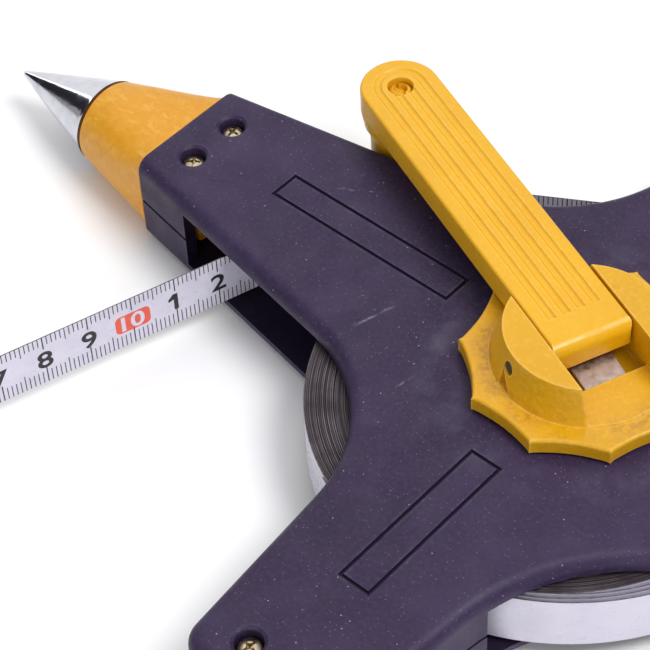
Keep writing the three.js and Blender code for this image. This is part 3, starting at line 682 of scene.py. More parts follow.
def coil_edges():
    """The cut edges of the wound tape: dark layers, some lighter, with painted glints on some of those, no
    two alike.
    """
    look = Look("coil_edges", srgb(42, 32, 38), 0.45, 0.35)
    radius = look.away_from(polar(PACK["offset"], PACK["direction"]))
    inputs = {"W": look.times(radius, 3.2), "Scale": 1, "Detail": 2}
    layer = look.node("ShaderNodeTexNoise", inputs, noise_dimensions="1D").outputs[0]
    bright = look.ramp(layer, 0.42, 0.62)
    look.coat(bright, srgb(80, 68, 74))
    # Painted highlight: pale glints laid on some of the lighter layers, standing in for light caught by the
    # steel edges.
    look.coat(look.times(bright, look.patches(5, 4, 0.35, 0.65)), srgb(146, 138, 144), 0.4)
    look.roughness(look.ramp(layer, 0.3, 0.7, 0.6, 0.4))
    look.raise_by(look.noise(0.4, 3), 0.02)
    return look.done()


def hidden_plastic(name, colour, roughness):
    """Moulded plastic with no wear: for the pieces inside the tool, where nothing rubs it, and for the
    painted shade inside the frame.
    """
    look = Look(name, colour, roughness, Specular_IOR_Level=0.3)
    look.coat(look.patches(5, 3, 0.35, 0.7), tuple(c * 0.82 for c in colour))
    look.roughness(look.patches(2, 3, 0.3, 0.7, roughness * 0.8, roughness * 1.2))
    look.raise_by(look.noise(0.5, 2), 0.02)
    return look.done()


NAVY = navy_plastic()
# Painted shade: a near-black navy on the faces inside the frame and in the engraved lines, standing in for
# the shade that falls there.
NAVY_PAINTED_SHADE = hidden_plastic("navy_painted_shade", srgb(19, 2, 36), 0.7)
YELLOW = yellow_plastic("yellow_plastic", srgb(222, 164, 4), srgb(228, 172, 16), 0.02)
DISC_YELLOW = yellow_plastic("disc_plastic", srgb(210, 154, 1), srgb(218, 162, 6), 0.11)
NOSE_YELLOW = nose_plastic()
CHROME = chrome()
STEEL = metal("steel", srgb(176, 176, 178), srgb(140, 139, 140), 0.32)
SPRING_STEEL = metal("spring_steel", srgb(190, 174, 168), srgb(168, 150, 142), 0.4, 0.01, 0.5)
DARK_STEEL = metal("dark_steel", srgb(92, 90, 92), srgb(60, 58, 60), 0.35, 0.03, 0.3)
SCREW_METAL = metal("screw_metal", srgb(205, 192, 165), srgb(160, 146, 120), 0.28)
BRASS = metal("brass", srgb(200, 170, 105), srgb(160, 128, 72), 0.3)
ENAMEL = tape_enamel()
BLACK_INK = print_ink("black_ink", srgb(26, 22, 28), srgb(70, 64, 74))
RED_INK = print_ink("red_ink", srgb(232, 88, 66), srgb(240, 130, 108))
COIL = coil_edges()
TAPE_EDGE = metal("tape_edge", srgb(120, 112, 116), srgb(84, 76, 80), 0.45)
DRUM_PLASTIC = hidden_plastic("drum_plastic", srgb(42, 42, 46), 0.5)
NYLON = hidden_plastic("nylon", srgb(222, 218, 206), 0.4)
RUST = metal("rust_line", srgb(120, 78, 46), srgb(88, 54, 30), 0.6, 0.05)

# ---------------------------------------------------------------- frame shells


def half_width(arm, distance):
    """Half an arm's width at a distance from the reel's axis."""
    return arm["half"] + (arm["end"] - distance) * math.tan(arm["taper"])


def frame_outline(nose_overrun=0.0):
    """The cross: two corners at the end of each arm, then the hollow to the next arm."""
    corners = []
    for k, arm in enumerate(ARMS):
        following = ARMS[(k + 1) % 4]
        end = arm["end"] + (nose_overrun if arm is NOSE_ARM else 0)
        for side in (-1, 1):
            corner = turned((end, side * half_width(arm, end)), 90 * k)
            corners.append((*corner, arm["corner"]))
        meet = crossing(
            90 * k + 90 - math.degrees(arm["taper"]),
            half_width(arm, 0) * math.cos(arm["taper"]),
            90 * k + math.degrees(following["taper"]),
            half_width(following, 0) * math.cos(following["taper"]),
        )
        corners.append((*meet, NOSE_WAIST if NOSE_ARM in (arm, following) else PLAIN_WAIST))
    return filleted(corners, 28)


def screw_places():
    places = []
    for k, arm in enumerate(ARMS):
        for side in (-1, 1):
            places.append(turned((arm["end"] - SCREW_FROM_END, side * SCREW_ACROSS), 90 * k))
    return places


def engraving(z):
    """Cutters for the thin rectangle on each arm, in the plate at height z."""
    out = 1 if z > MID else -1
    bottom, top = z - out * ENGRAVED_DEPTH, z + out * 0.5
    section = [(-0.2, bottom), (0.2, bottom), (0.58, top), (-0.58, top)]
    half = ENGRAVED_HALF
    tools = []
    for k, arm in enumerate(ARMS):
        start, end = arm["engraved"]
        path = [turned(p, 90 * k) for p in ((start, -half), (end, -half), (end, half), (start, half))]
        tools.append(swept("groove", path, section, closed=True))
    return joined("grooves", *tools)


def room_tools():
    """Cutters for the inside of the frame and for the openings in its walls."""
    low, high = PLATE, HEIGHT - PLATE
    cavity = slab("cavity", frame_outline(20), [(WALL, low), (WALL, high)])
    coil = rod("coil_room", COIL_ROOM, low, high, 160)
    start, end = TAPE_MOUTHS
    return cavity, coil, box("slots", (start, -40, low), (end, 40, high))


def is_inside(spot, outline):
    """Whether a plan point lies within a closed outline."""
    inside = False
    for a, b in zip(outline, outline[1:] + outline[:1]):
        if (a.y > spot.y) != (b.y > spot.y):
            if spot.x < a.x + (b.x - a.x) * (spot.y - a.y) / (b.y - a.y):
                inside = not inside
    return inside


def darken_inside(shell):
    """Paints shade on the faces inside the frame: they get the near-black, rougher plastic that stands in
    for the shade there.
    """
    shell.data.materials.append(NAVY_PAINTED_SHADE)
    outline = [point for point, _ in frame_outline()]
    for face in shell.data.polygons:
        x, y, z = face.center / MM
        if PLATE - 0.1 < z < HEIGHT - PLATE + 0.1:
            ahead = Vector((x, y)) + face.normal.xy * 1.5
            if abs(face.normal.z) > 0.5 or is_inside(ahead, outline):
                face.material_index = 1


def darken_engraving(shell):
    """Paints shade in the engraved lines with the same near-black plastic."""
    nearest, furthest = PLAIN_ARM["engraved"][0] - 1.4, NOSE_ARM["engraved"][1] + 1.4
    for face in shell.data.polygons:
        x, y, z = face.center / MM
        across, along = sorted((abs(x), abs(y)))
        on_arm = nearest < along < furthest and across < ENGRAVED_HALF + 1
        if on_arm and 0.03 < min(z, HEIGHT - z) < 1:
            face.material_index = 1


def frame_shell(name, upper):
    """A half shell with its screw posts. The two halves leave a thin joint between them."""
    split = MID + GAP / 2
    levels = [(JOINT_EDGE, split), (0, split + JOINT_EDGE)]
    levels += [level for level in edge_levels(split, HEIGHT, 0, EDGE, 7) if level[1] > split + 1]
    if not upper:
        levels = [(shrink, HEIGHT - z) for shrink, z in reversed(levels)]
    shell = slab(name, frame_outline(8), levels)
    cut(shell, box("end", (-150, -40, -5), (-NOSE_ARM["end"], 40, 30)), *room_tools())
    low, high = (split, HEIGHT - PLATE + 0.5) if upper else (PLATE - 0.5, HEIGHT - split)
    posts = [rod("post", SCREW_POST, low, high, 32, p) for p in screw_places()]
    fuse(shell, joined("posts", *posts))
    bevelled(shell, 0.35, 2)
    if upper:
        bore = [(COUNTERBORE, SCREW_SEAT), (COUNTERBORE, 22), (3.0, 22.2), (3.6, 22.6)]
        cut(
            shell,
            joined("bores", *[lathe("bore", bore, 40, p) for p in screw_places()]),
            lathe("reel_bore", [(REEL_BORE, MID), (REEL_BORE, 22.1), (9.2, 23)], 96),
            engraving(HEIGHT),
        )
    else:
        cut(shell, engraving(0))
    dress(smoothed(shell), "frame", NAVY, "frame_plastic", name)
    # Painted shade inside the frame and in the engraved lines.
    darken_inside(shell)
    darken_engraving(shell)


def screw_mesh():
    """A pan-head screw with a cross recess, about its own axis."""
    top = SCREW_SEAT + GAP + 1.7
    profile = rounded_profile([
        (0, 12, 0), (1.2, 13, 0), (1.2, SCREW_SEAT + GAP, 0), (2.48, SCREW_SEAT + GAP, 0.1),
        (2.45, top - 0.55, 0.5), (1.0, top - 0.02, 0.4), (0, top, 0),
    ], 5)
    screw = lathe("screw", profile, 48)
    for turn in (0, 90):
        wing = rectangle(-1.5, 1.5, 0.32, 0.2, 0.2, 3)
        tool = slab("recess", wing, [(0.12, top - 0.9), (0, top + 0.4)])
        cut(screw, moved(tool, turn=turn))
    cut(screw, lathe("dimple", [(0.3, top - 1.1), (0.62, top - 0.3), (0.7, top + 0.3)], 24))
    return smoothed(bevelled(screw, 0.05, 1, 45))


def frame_screws():
    """Eight screws of one shape, each left at an angle of its own."""
    pattern = screw_mesh()
    chance = random.Random(4)
    for i, place in enumerate(screw_places()):
        piece = new_object(f"screw_{i + 1}", pattern.data.copy())
        moved(piece, (place.x, place.y, 0), chance.uniform(0, 90))
        dress(piece, "frame", SCREW_METAL, "screw_steel", f"frame_screw_{i + 1}")
    bpy.data.objects.remove(pattern)


# ---------------------------------------------------------------- nose


def nose_ring(share, steps=128):
    """A cross-section of the nose, from the frame's rounded rectangle to the spike's circle."""
    swell = 1 + NOSE["swell"] * math.sin(math.pi * share)
    half = min((NOSE_ARM["half"] * (1 - share) + NOSE["ring"] * share) * swell, NOSE_ARM["half"])
    tallest = MID - 0.02 + NOSE["drift"][1] * share
    tall = min(((MID - 0.02) * (1 - share) + NOSE["ring"] * share) * swell, tallest)
    power = 0.3 * (1 - share ** 0.5) + share ** 0.5
    x = -NOSE_ARM["end"] - 0.12 - share * NOSE["length"]
    ring = []
    for k in range(steps):
        ray = polar(1, 360 * k / steps)
        y, z = [math.copysign(abs(c) ** power, c) if abs(c) > 1e-6 else 0 for c in ray]
        ring.append((x, half * y, MID + tall * z))
    return ring


def drifted(piece):
    """Moves the nose's and the spike's points off the arm's axis, as far as the part drifts there."""
    for vertex in piece.data.vertices:
        beyond = -NOSE_ARM["end"] - vertex.co.x / MM
        nose = min(max(beyond / NOSE["length"], 0), 1)
        spike = min(max((beyond - NOSE["length"]) / SPIKE["length"], 0), 1)
        vertex.co.y += (NOSE["drift"][0] * nose + SPIKE["drift"][0] * spike) * MM
        vertex.co.z += (NOSE["drift"][1] * nose + SPIKE["drift"][1] * spike) * MM
    return piece


def nose_insert():
    """The nose, its tail that fills the arm's end, and its tongue under the upper plate."""
    shares = [0, 0.01] + [k / 22 for k in range(1, 22)] + [0.985, 1]
    rings = [nose_ring(share) for share in shares]
    for ring in (0, -1):
        rings[ring] = [(x, y * NOSE["end_scale"], MID + (z - MID) * NOSE["end_scale"])
                       for x, y, z in rings[ring]]
    body = drifted(outward(stacked("nose", rings)))
    low = PLATE + 0.45
    inner = NOSE_ARM["half"] - WALL - 0.5
    base = -NOSE_ARM["end"]
    tail = rectangle(base - 1, base + NOSE["tail"], inner, 1, 1)
    tongue = rectangle(base + 5, base + NOSE["tongue"], inner - 1, 1, 1.5)
    fuse(
        body,
        slab("tail", tail, edge_levels(low, HEIGHT - low, 0.4, 0.4, 3)),
        slab("tongue", tongue, edge_levels(MID - 1, HEIGHT - low - 0.02, 0.4, 0.4, 3)),
    )
    posts = [p for p in screw_places() if p.x < -PLAIN_ARM["end"]]
    cut(body, joined("holes", *[rod("hole", SCREW_POST + GAP, 0, HEIGHT, 40, p) for p in posts]))
    dress(smoothed(body), "frame", NOSE_YELLOW, "yellow_plastic", "nose_insert")


def along_nose(piece, x):
    """Lays a piece turned about Z along -X, with its origin at x on the nose's axis."""
    return moved(piece, (x, 0, MID), -90, "Y")


def ground_spike():
    """The chrome spike, and the line of rust where it meets the nose."""
    steps = 40
    tip, length, rim = SPIKE["tip"], SPIKE["length"], NOSE["ring"]
    cone = []
    for k in range(1, steps + 1):
        share = k / steps
        cone.append((tip + (rim - 0.1 - tip) * (1 - share) ** SPIKE["fullness"], length * share))
    point = [(tip * 0.7, length + tip * 0.3), (0, length + tip * 0.45)]
    foot = [(0, 0), (rim - 0.4, 0), (rim - 0.12, 0.25)]
    joint = [(rim - 0.5, -0.7), (rim - 0.02, -0.5), (rim - 0.02, 0), (rim - 0.5, 0.1)]
    shoulder = -NOSE_ARM["end"] - NOSE["length"] - 2 * GAP
    spike = drifted(along_nose(lathe("spike", foot + cone + point, 128), shoulder))
    dress(smoothed(spike, 50), "frame", CHROME, "spike_chrome", "ground_spike")
    seat = drifted(along_nose(lathe("spike_joint", joint, 128), shoulder))
    dress(smoothed(seat), "frame", RUST, "plain_steel")


# ---------------------------------------------------------------- tape


class Strip:
    """A tape standing on edge along a plan path, with places measured along it."""

    def __init__(self, path):
        self.path = path
        self.reach = [0.0]
        for a, b in zip(path, path[1:]):
            self.reach.append(self.reach[-1] + (b - a).length)

    @property
    def length(self):
        return self.reach[-1]

    def at(self, distance):
        """The point and the left-hand normal at a distance from the start."""
        distance = min(max(distance, 0), self.length)
        i = max(k for k in range(len(self.path) - 1) if self.reach[k] <= distance)
        a, b = self.path[i], self.path[i + 1]
        direction = (b - a).normalized()
        return a + direction * (distance - self.reach[i]), Vector((-direction.y, direction.x))

    def piece(self, name):
        section = eased(TAPE_THICK / 2, TAPE_WIDTH / 2, TAPE_THICK / 4, 0.06)
        return outward(swept(name, self.path, [(across, MID + up) for across, up in section]))

    def lay(self, flat_points, side, lift):
        """Flat (along, up) points on the tape's face, lifted off it a little."""
        out = []
        for s, h in flat_points:
            point, normal = self.at(s)
            place = point + normal * side * (TAPE_THICK / 2 + lift)
            out.append((place.x, place.y, MID + h))
        return out


class Print:
    """Collects flat printed shapes as thin closed solids on a strip."""

    def __init__(self, strip, side, zero, sense):
        self.strip, self.side, self.zero, self.sense = strip, side, zero, sense
        self.points, self.faces = [], []

    def shape(self, points, polygons, lift=0.02):
        """Adds a flat mesh, given in (along, up) points, as a thin closed layer."""
        start = len(self.points)
        count = len(points)
        self.points += self.strip.lay(points, self.side, lift)
        self.points += self.strip.lay(points, self.side, lift - 0.015)
        edges = {}
        for polygon in polygons:
            self.faces.append(tuple(start + i for i in polygon))
            self.faces.append(tuple(start + count + i for i in reversed(polygon)))
            for a, b in zip(polygon, polygon[1:] + polygon[:1]):
                edges[(a, b)] = True
        for a, b in edges:
            if (b, a) not in edges:
                self.faces.append((start + b, start + a, start + count + a, start + count + b))

    def mark(self, distance, low, high, width):
        s = self.zero + self.sense * distance
        half = width / 2
        if 0.2 < s < self.strip.length - 0.2:
            self.shape([(s - half, low), (s + half, low), (s + half, high), (s - half, high)],
                       [[0, 1, 2, 3]])

    def piece(self, name):
        return outward(mesh_piece(name, self.points, self.faces))


def print_scale(ink, first, last):
    """Millimetre marks along both edges, longer at each five and each ten."""
    half = TAPE_WIDTH / 2
    for mm in range(first, last):
        upper, lower, width = next(sizes for step, sizes in MARKS.items() if mm % step == 0)
        ink.mark(mm, half - upper, half, width)
        ink.mark(mm, -half, lower - half, width)


def text_mesh(text, size, weight):
    """A word as flat (points, polygons), centred on its own middle, in millimetres."""
    curve = bpy.data.curves.new("text", "FONT")
    curve.body = text
    curve.size = size
    curve.offset = weight
    curve.align_x = "CENTER"
    curve.resolution_u = 6
    holder = new_object("text", curve)
    mesh = bpy.data.meshes.new_from_object(holder.evaluated_get(bpy.context.evaluated_depsgraph_get()))
    points = [(v.co.x, v.co.y) for v in mesh.vertices]
    polygons = [list(f.vertices) for f in mesh.polygons]
    bpy.data.objects.remove(holder)
    bpy.data.meshes.remove(mesh)
    across, up = [(min(side) + max(side)) / 2 for side in zip(*points)]
    return [(x - across, y - up) for x, y in points], polygons


def number_mesh(number):
    """A bold printed number. The font's plain 1 gets a longer flag."""
    points, polygons = text_mesh(str(number), DIGIT["size"], DIGIT["weight"])
    if number == 1:
        right = max(x for x, _ in points)
        top = max(y for _, y in points)
        start = len(points)
        points = points + [(right - 0.9, top), (right - 0.3, top), (right - 0.9, top - 1.5),
                           (right - 1.9, top - 1.9), (right - 1.9, top - 1.15)]
        polygons = polygons + [[start, start + 4, start + 3, start + 2, start + 1]]
    return [(x * DIGIT["wide"], y) for x, y in points], polygons


NUMBERS = {number: number_mesh(number) for number in range(1, 11)}


def print_numbers(ink, red, white, first, last):
    """A number on each centimetre, which starts again after each ten, and a red box at the tens."""
    for cm in range(first, last):
        s = ink.zero + ink.sense * cm * 10
        if not 4 < s < ink.strip.length - 4:
            continue
        number = (cm - 1) % 10 + 1
        points, polygons = NUMBERS[number]
        scale = DIGIT["ten"] if number == 10 else 1
        reading = -ink.side
        placed = [(s + x * scale * reading, y * scale) for x, y in points]
        if number == 10:
            wide, high = DIGIT["box"]
            outline = [(s + p.x, p.y) for p, _ in rectangle(-wide, wide, high, 1.2, 1.2, 5)]
            red.shape(outline, [list(range(len(outline)))], 0.018)
            white.shape(placed, polygons, 0.036)
        else:
            ink.shape(placed, polygons)


def roller_centre():
    return crossing(EXIT["normal"], EXIT["distance"] - LEAD_OFFSET - ROLLER_BEND,
                    ENTRY["normal"], ENTRY["distance"] - ROLLER_BEND)


def exit_point(distance, along):
    """A place on the tape's way out: its distance from the axis, and how far along its line."""
    return polar(distance, EXIT["normal"]) + polar(along, EXIT["normal"] - 90)


def enamelled(name, strip, body, *nodes):
    """A strip of tape: enamel on its faces, bare steel on its cut edges."""
    piece = dress(smoothed(strip.piece(name)), body, ENAMEL, "tape_steel", *nodes)
    piece.data.materials.append(TAPE_EDGE)
    for face in piece.data.polygons:
        if abs(face.normal.z) > 0.3:
            face.material_index = 1


def printed_strip(name, strip, body, side, zero, sense, first, last, *nodes):
    """A strip of enamelled tape and the print on one of its faces."""
    enamelled(name, strip, body, *nodes)
    ink, red, white = (Print(strip, side, zero, sense) for _ in range(3))
    print_scale(ink, first, last)
    print_numbers(ink, red, white, first // 10, last // 10 + 1)
    dress(ink.piece(name + "_ink"), body, BLACK_INK, "tape_steel")
    if red.points:
        dress(red.piece(name + "_red"), body, RED_INK, "tape_steel")
        dress(white.piece(name + "_white"), body, ENAMEL, "tape_steel")


def tape_blade():
    """The pulled-out tape, from its free end. It is printed on its right-hand, inner face."""
    path = [exit_point(EXIT["distance"], EXIT["zero"] + k) for k in range(0, 130)]
    path.append(exit_point(EXIT["distance"], EXIT["tail"]))
    strip = Strip(path)
    printed_strip("blade", strip, "tape", -1, 0, 1, 1, 130, "tape_blade")


def tape_lead():
    """From the coil over the roller to the blade's tail, where the blade's scale goes on."""
    path = arc((0, 0), ENTRY["distance"], 66, ENTRY["normal"], 40)
    path += arc(roller_centre(), ROLLER_BEND, ENTRY["normal"], EXIT["normal"], 16)
    path.append(exit_point(EXIT["distance"] - LEAD_OFFSET, EXIT["tail"] - GAP))
    strip = Strip(path)
    zero = strip.length + BLADE_LENGTH
    printed_strip("lead", strip, "frame", 1, zero, -1, 130, 130 + int(strip.length), "tape_lead")


def loose_turn(start, end, outer, inner, settle_over, steps):
    """A turn that comes in from one radius to another as it goes round."""
    path = []
    for k in range(steps + 1):
        angle = start + (end - start) * k / steps
        share = min(max((angle - start) / settle_over, 0), 1)
        radius = inner + (outer - inner) * (0.5 + 0.5 * math.cos(math.pi * share))
        path.append(polar(radius, angle))
    return path


def tape_wraps():
    """The outermost turn, which still carries its print, and two more loose ones within it."""
    outermost, *within = [Strip(loose_turn(*turn)) for turn in LOOSE_TURNS]
    printed_strip("outer_wrap", outermost, "reel", 1, 3, 1, 95, 400, "tape_outer_wrap")
    for i, strip in enumerate(within):
        enamelled(f"inner_wrap_{i + 1}", strip, "reel")


def tape_pack():
    """The wound tape: one ridge for each layer, some of them standing proud of the others."""
    chance = random.Random(11)
    low, high = MID - TAPE_WIDTH / 2, MID + TAPE_WIDTH / 2
    pitch = (PACK["outer"] - PACK["inner"]) / PACK["layers"]
    centre = polar(PACK["offset"], PACK["direction"])
    bottom, top = [], []
    for k in range(PACK["layers"]):
        r0 = PACK["inner"] + k * pitch
        drop = chance.choice((0.02, 0.05, 0.1, 0.16, 0.3))
        top += [(r0 + pitch * 0.04, high - drop - 0.14), (r0 + pitch * 0.18, high - drop),
                (r0 + pitch * 0.8, high - drop), (r0 + pitch * 0.96, high - drop - 0.14)]
        bottom += [(r0 + pitch * 0.18, low + drop), (r0 + pitch * 0.8, low + drop),
                   (r0 + pitch * 0.96, low + drop + 0.14)]
    pack = hollow("wound_tape", bottom + top[::-1], 144, centre)
    dress(smoothed(pack, 25), "reel", COIL, "tape_steel", "tape_pack")
    skin = Strip(arc(centre, PACK["outer"] + 0.06, 0, 358.5, 144))
    enamelled("pack_skin", skin, "reel")


def guides():
    """The roller where the tape turns, and the post at its mouth."""
    high = HEIGHT - PLATE - 0.5
    waist = ROLLER - 0.35
    rim = [(waist, high - 1.3, 0.2), (ROLLER, high - 0.9, 0.2), (ROLLER, high, 0.5), (1.85, high, 0)]
    roller = hollow("roller", mirrored_profile(rim, MID), 64, roller_centre())
    dress(smoothed(roller), "roller", NYLON, "nylon", "guide_roller")
    place = exit_point(EXIT["distance"] + 0.15 + GAP + GUIDE_POST, EXIT["tail"] - GUIDE_POST)
    end = [(GUIDE_POST, HEIGHT - PLATE - GAP, 0.3), (0, HEIGHT - PLATE - GAP, 0)]
    post = lathe("post", mirrored_profile(end, MID), 48, place)
    dress(smoothed(post), "frame", YELLOW, "yellow_plastic", "guide_post")


# ---------------------------------------------------------------- end of the tape


def to_blade(piece):
    """From the blade's own frame, where it runs along +Y from its zero mark, to its place."""
    place = exit_point(EXIT["distance"], EXIT["zero"])
    return moved(piece, (place.x, place.y, 0), EXIT["normal"] - 180)


def end_clip():
    """The folded clip with its loop, and the rivet through the clip and the tape."""
    half = TAPE_WIDTH / 2
    path = [Vector(p) for p in ((0.66, 9.8), (0.66, -1.2), (0.5, -1.6), (-0.5, -1.6), (-0.66, -1.2),
                                (-0.66, 9.8))]
    section = [(-0.17, MID - half), (0.17, MID - half), (0.17, MID + half), (-0.17, MID + half)]
    clip = outward(swept("end_clip", path, section))
    fuse(clip, rod("loop", 2.28, MID - half, MID + half, 48, (0, END_LOOP)))
    cut(clip, rod("eye", 1.3, 0, 30, 40, (0, END_LOOP)))
    dress(smoothed(to_blade(bevelled(clip, 0.08, 2, 40))), "tape", STEEL, "plain_steel", "tape_end_clip")
    head = [(1.2, 0.85, 0), (2.08, 0.9, 0.2), (1.5, 1.4, 0.3), (0, 1.4, 0)]
    rivet = moved(lathe("rivet", mirrored_profile(head), 40), (0, 5, MID), 90, "Y")
    dress(smoothed(to_blade(rivet)), "tape", BRASS, "rivet_brass", "tape_end_rivet")


def end_ring():
    """A D of round wire, drawn flat and then stood up in the clip's loop."""
    corners = [(0, -7.8, 1.6), (0, 7.8, 1.6), (-9.45, 10, 6), (-17.85, 6.48, 5), (-21, 0, 3),
               (-17.85, -6.48, 5), (-9.45, -10, 6)]
    rays = [polar(0.98, 360 * k / 16) for k in range(16)]
    loops = []
    for point, normal in filleted(corners, 10):
        spots = [(ray, point + normal * ray.x) for ray in rays]
        loops.append([(ray.y, spot.x + END_LOOP, MID + spot.y) for ray, spot in spots])
    ring = to_blade(outward(stacked("end_ring_wire", loops, closed=True)))
    dress(smoothed(ring, 60), "end_ring", STEEL, "plain_steel", "tape_end_ring")


# ---------------------------------------------------------------- hub


def to_crank(piece):
    """Turns a piece made along X to the crank's direction."""
    return moved(piece, turn=CRANK["turn"])


def on_pin(name, profile, steps):
    """A turned piece that lies on the crank pin's axis."""
    return moved(lathe(name, profile, steps), (0, 0, CRANK["pin"]), 90, "X")


def scalloped():
    """The disc's edge: concave arcs between rounded tips."""
    step = 360 / DISC["lobes"]
    deep = DISC["tips"] - DISC["roots"] + 0.25
    points = []
    for k in range(DISC["lobes"]):
        for j in range(24):
            share = j / 24
            radius = DISC["tips"] - deep * math.sin(math.pi * share) ** 0.72
            points.append(polar(radius, DISC["tip"] + (k + share) * step))
    outline = []
    for i, point in enumerate(points):
        along = (points[(i + 1) % len(points)] - points[i - 1]).normalized()
        outline.append((point, Vector((along.y, -along.x))))
    return outline


def hub_disc():
    """The disc, its boss in two wings with the crank's slot between them, and the spring's pit."""
    high, floor, half = DISC["high"], BOSS["floor"], BOSS["slot"]
    disc = slab("hub", scalloped(), edge_levels(DISC["low"], high, 0.4, 0.7, 5))
    side = [(BOSS["base"] + 0.5, high - 0.6), (BOSS["base"], high + 0.4), (BOSS["top"], BOSS["high"])]
    boss = lathe("boss", side, 128)
    cut(boss, box("slot", (-30, -half, floor), (30, half, 40)))
    bevelled(boss, 0.7, 4, 60)
    fuse(disc, boss)
    pit = rectangle(-8.2, 9.2, half - 0.02, 0.4, 0.4)
    cut(
        disc,
        box("ledge", (-30, -half + 0.02, floor), (30, half - 0.02, 40)),
        slab("pit", pit, [(0, BOSS["pit"] - 1.2), (0, floor + 1)]),
        on_pin("pin_hole", [(PIN["disc_hole"], -30), (PIN["disc_hole"], 30)], 32),
    )
    for side in (-1, 1):
        notch = mesh_piece("notch", [
            (x * side, y * side, high + z) for y in (BOSS["top"] + 0.2, BOSS["base"] + 2)
            for x, z in ((-2.6, 0.2), (1.3, 0.2), (1.3, 4))
        ], [(0, 1, 2), (5, 4, 3), (0, 3, 4, 1), (1, 4, 5, 2), (2, 5, 3, 0)])
        cut(disc, notch)
    dress(smoothed(to_crank(disc)), "reel", DISC_YELLOW, "yellow_plastic", "hub_disc")


def crank_pin():
    end = [(PIN["radius"], PIN["reach"], 0.3), (0, PIN["reach"], 0)]
    pin = on_pin("pin", mirrored_profile(end), 40)
    dress(smoothed(to_crank(pin)), "reel", DARK_STEEL, "plain_steel", "crank_pin")


def leaf_spring():
    """A wide leaf with rounded edges, bowed up a little in the middle of its length."""
    path = []
    for k in range(41):
        share = k / 40
        rise = 4 * LEAF["bow"] * share * (1 - share)
        height = BOSS["pit"] + LEAF["above"] + rise
        path.append(Vector((LEAF["start"] + LEAF["length"] * share, height)))
    section = eased(LEAF["thick"] / 2, LEAF["half"], 0.13, 0.15)
    leaf = moved(outward(swept("leaf", path, section)), turn=90, axis="X")
    dress(smoothed(to_crank(leaf)), "reel", SPRING_STEEL, "plain_steel", "leaf_spring")


# ---------------------------------------------------------------- crank


def crank_grooves():
    """Four grooves. The outer two run round the arm's end and join; the inner two stop at the hole."""
    top = CRANK["high"]
    half = [(0.24, -0.42), (0.5, -0.36), (0.72, -0.22), (1.12, 0.24), (1.2, 0.4)]
    section = [(-a, top + z) for a, z in reversed(half)] + [(a, top + z) for a, z in half]
    start, outer, inner = (CRANK_GROOVES[key] for key in ("start", "outer", "inner"))
    end = CRANK["reach"]
    loop = [Vector((start, -outer)), *arc((end, 0), outer, -90, 90, 24), Vector((start, outer))]
    tools = [swept("outer", loop, section)]
    for y in (-inner, inner):
        path = [Vector((start, y)), Vector((end - CRANK_GROOVES["short"], y))]
        tools.append(swept("inner", path, section))
    return tools


def end_rounding():
    """Takes the upper edge off the arm's end at the hub."""
    end, high, radius = CRANK["end"], CRANK["high"], CRANK["rounding"]
    curve = [(p.x, p.y) for p in arc((end + radius, high - radius), radius, 180, 90, 10)]
    profile = curve + [(end + radius, high + 2), (end - 2, high + 2), (end - 2, high - radius)]
    return stacked("rounding", [[(x, y, z) for x, z in profile] for y in (-12, 12)])


def crank_arm():
    """The grooved arm: a round end with a collar for the grip, and pockets between ribs below."""
    reach, half, low, high = (CRANK[key] for key in ("reach", "half", "low", "high"))
    outline = rectangle(CRANK["end"], reach + half, half, 1, half - 0.02, 24)
    arm = slab("crank", outline, edge_levels(low, high, 0.4, 0.7, 6))
    collar = rounded_profile([(0, low - CRANK["collar"], 0), (8.3, low - CRANK["collar"], 0.5),
                              (8.3, low + 1, 0), (0, low + 1, 0)])
    fuse(arm, lathe("collar", collar, 96, (reach, 0)))
    pitch = (reach - 20) / CRANK["pockets"]
    pockets = []
    for k in range(CRANK["pockets"]):
        x = 11 + k * pitch
        outline = rectangle(x + 0.6, x + pitch - 0.6, half - 2, 1, 1)
        pockets.append(slab("pocket", outline, [(0, low - 1), (0.3, low + 3.6)]))
    cut(
        arm,
        joined("pockets", *pockets),
        on_pin("pin_hole", [(PIN["arm_hole"], -30), (PIN["arm_hole"], 30)], 32),
        rod("stem_hole", 2.15, 20, 40, 48, (reach, 0)),
        lathe("snap_seat", [(2.75, high - CRANK["snap"]), (2.75, 34.2), (3.2, 34.8)], 48, (reach, 0)),
        *crank_grooves(),
        end_rounding(),
    )
    dress(smoothed(to_crank(arm)), "crank", YELLOW, "yellow_plastic", "crank_arm")


def crank_grip():
    """A waisted grip with a collar, and the split stem that snaps into the arm."""
    reach = CRANK["reach"]
    top = CRANK["low"] - CRANK["collar"] - GAP
    snap = CRANK["high"] - CRANK["snap"] + GAP
    radius, collar, low = GRIP["radius"], GRIP["collar"], GRIP["low"]
    corners = [(0, low, 0), (radius - 2.2, low, 0.3), (radius - 0.2, low + 1.2, 0.8)]
    for k in range(GRIP["rings"]):
        z = low + 2.6 + 1.5 * k
        corners += [(radius, z - 0.5, 0.12), (radius - 0.35, z - 0.25, 0.1), (radius - 0.35, z, 0.1),
                    (radius, z + 0.25, 0.12)]
    corners += [
        (radius - 0.55, low + 11, 3), (radius - 0.45, top - 4.6, 1.5), (radius - 0.1, top - 2.4, 0.5),
        (collar, top - 1.8, 0.4), (collar, top, 0.4), (1.9, top, 0), (1.9, snap, 0), (2.4, snap, 0),
        (2.4, snap + 0.5, 0.2), (1.5, snap + 1.2, 0.2), (0, snap + 1.2, 0),
    ]
    grip = lathe("grip", rounded_profile(corners, 5), 96, (reach, 0))
    split = box("split", (reach - 4, -0.4, top + 2.5), (reach + 4, 0.4, 40))
    cut(grip, split, rod("bore", 1.55, top + 1, 40, 40, (reach, 0)))
    dress(smoothed(to_crank(grip)), "grip", YELLOW, "yellow_plastic", "crank_grip")


# ---------------------------------------------------------------- inner pieces that keep their shape


